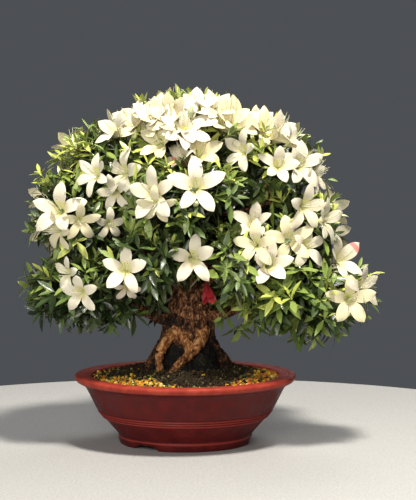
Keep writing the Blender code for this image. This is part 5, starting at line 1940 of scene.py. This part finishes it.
def leaves_piece(name, places, ways, lengths, layers, tones, blossoms, rng):
    """The leaves of one mass."""
    young = (layers == 0) & (ways[:, 2] > YOUNG_UPWARD) & (places[:, 2] > YOUNG_ABOVE)
    young &= rng.random(len(places)) < YOUNG_SHARE
    tones = np.where(young, np.clip(tones + 1, 3, 4), tones)
    base, along, up, size, tone = leaf_layout(places, ways, lengths, tones, young, rng)
    keep = clear_of_blossoms(base + along * (LEAF_MIDDLE * size)[:, None], blossoms)
    keep &= clear_of_blossoms(base + along * size[:, None], blossoms, TIP_CLEAR)
    kind = rng.integers(0, len(LEAF_KINDS), len(base))
    shapes = Shapes()
    for number, values in enumerate(LEAF_KINDS):
        points, faces = leaf_shape(*values)
        some = keep & (kind == number)
        shapes.add(put(points, turns_along(along[some], up[some]), base[some], size[some]), faces,
                   tone[some][:, None])
    return shapes.piece("leaves_" + name, LEAVES)


# Twigs


def grow_twigs(spine, tips, ways):
    """Twigs from a bough's spine to each tip, or from a fork on an earlier twig: for each, its start, its
    own fork, and how many tips it carries."""
    count = len(tips)
    forks = np.concatenate([spine, np.zeros((count, 3))])
    back = np.concatenate([np.linalg.norm(spine - spine[0], axis=1) * 0.5, np.zeros(count)])
    starts, middles, parents = np.zeros((count, 3)), np.zeros((count, 3)), np.full(count, -1)
    order = np.argsort(np.min(np.linalg.norm(tips[:, None] - spine[None], axis=-1), axis=1))
    made = []
    rng = np.random.default_rng(SEED)
    for step, index in enumerate(order):
        used = len(spine) + step
        gap = tips[index] - forks[:used]
        far = np.linalg.norm(gap, axis=1)
        cost = far + TWIG_BALANCE * back[:used] + TURN_BACK * (gap @ ways[index] < 0)
        best = int(cost.argmin())
        starts[index] = forks[best]
        parents[index] = made[best - len(spine)] if best >= len(spine) else -1
        bend = np.cross(gap[best], rng.normal(size=3))
        middle = forks[best] + FORK_SHARE * gap[best] + TWIG_BEND * far[best] * unit(bend)
        middles[index] = middle
        forks[used] = middle
        back[used] = back[best] + FORK_SHARE * far[best]
        made.append(index)
    loads = np.ones(count)
    for index in reversed(made):
        if parents[index] >= 0:
            loads[parents[index]] += loads[index]
    return starts, middles, loads


def twigs_piece(name, tips, ways, green):
    """The twigs of one mass, thicker the more tips they carry."""
    points, _ = bough_spine(name)
    spine = points[-3:] if name in BOUGHS else points[-4:]
    starts, middles, loads = grow_twigs(spine, tips, ways)
    lines = np.stack([starts, middles, tips], axis=1)
    thick = np.minimum(TWIG_RADIUS * np.sqrt(loads), TWIG_THICKEST)
    thinner = np.maximum(thick * TWIG_TAPER, TWIG_RADIUS)
    radii = np.stack([thick, thinner, np.full(len(tips), TWIG_RADIUS)], axis=1)
    shapes = Shapes()
    tubes(shapes, lines, radii, 3, np.where(green & (loads < 2), 1, 0)[:, None])
    return shapes.piece("twigs_" + name, [TWIG_BARK, SHOOT])


# The whole plant


def dress(piece, slot, *replaced):
    """Gives a piece its body and hides the solids that it stands for; the slot it is given is not used."""
    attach(piece, "root")
    if replaced:
        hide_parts(*replaced)


def plant():
    """Every piece of the plant and its pot."""
    rng = np.random.default_rng(SEED)
    dress(pot_piece(), "red_clay", "pot")
    dress(soil_piece(), "granular_soil", "soil")
    dress(granules_piece(rng), "granular_soil")
    dress(hairs_and_moss_piece(rng), "granular_soil")
    dress(trunk_piece(), "bark", "trunk", *("bough_" + name for name in BOUGHS))
    blossoms = all_blossoms()
    buds = []
    for name in MASSES:
        places, ways, lengths, layers, tones = rosettes_of(name, blossoms, rng)
        leaves = leaves_piece(name, places, ways, lengths, layers, tones, blossoms, rng)
        dress(leaves, "foliage", "mass_" + name)
        own = [blossom for blossom in blossoms if blossom.mass == name]
        necks = np.array([tuple(b.place - b.facing * (NECK * b.radius)) for b in own]).reshape(-1, 3)
        facing = np.array([tuple(b.facing) for b in own]).reshape(-1, 3)
        tips, aims = np.concatenate([places, necks]), np.concatenate([ways, facing])
        green = np.concatenate([layers == 0, np.ones(len(own), bool)])
        dress(twigs_piece(name, tips, aims, green), "bark")
        outer = np.flatnonzero((layers == 0) & (ways[:, 2] > 0))
        for k in rng.choice(outer, min(len(outer), BUDS_EACH), replace=False):
            buds.append((places[k], ways[k], rng.uniform(*BUD_LENGTH)))
    dress(petals_piece(blossoms, rng), "foliage")
    dress(stamens_piece(blossoms, buds, rng), "foliage")


def soft_light(name, place, size, power, colour):
    """A round soft light at a place, aimed at the plant."""
    light = bpy.data.lights.new(name, "AREA")
    light.shape = "DISK"
    light.size = size
    light.energy = power
    light.color = colour
    lamp = linked(name, light)
    lamp.location = Vector(place) + Vector(AXIS)
    lamp.rotation_euler = (Vector(LIGHTS_AIM) - Vector(place)).to_track_quat("-Z", "Y").to_euler()


def studio():
    """The pale table top, the camera, and the lights: the strongest from high up in front, with softer ones
    from the front, the left and behind."""
    shapes = Shapes()
    profile = rounded([
        (0.001, TABLE_TOP),
        (TABLE_RADIUS, TABLE_TOP, 0.002),
        (TABLE_RADIUS, TABLE_UNDER, 0.002),
        (0.001, TABLE_UNDER),
    ], 0.0002)
    rows = lathe(profile, TABLE_STEPS, True)
    shapes.add(rows.reshape(-1, 3), grid_faces(len(rows), TABLE_STEPS, True))
    shapes.piece("table_top", [TABLE])
    for name, (place, size, power, colour) in LIGHTS.items():
        soft_light(name, place, size, power, colour)
    world = bpy.data.worlds.new("studio")
    world.use_nodes = True
    world.node_tree.nodes["Background"].inputs["Color"].default_value = SKY
    bpy.context.scene.world = world
    camera = bpy.data.cameras.new("camera")
    camera.lens = LENS_MM
    camera.clip_end = 20
    view = linked("camera", camera)
    view.location = Vector(EYE) + Vector(AXIS)
    view.rotation_euler = (math.pi / 2 - TILT_DOWN, 0, 0)
    bpy.context.scene.camera = view
    bpy.context.scene.view_settings.view_transform = "Standard"


plant()
studio()
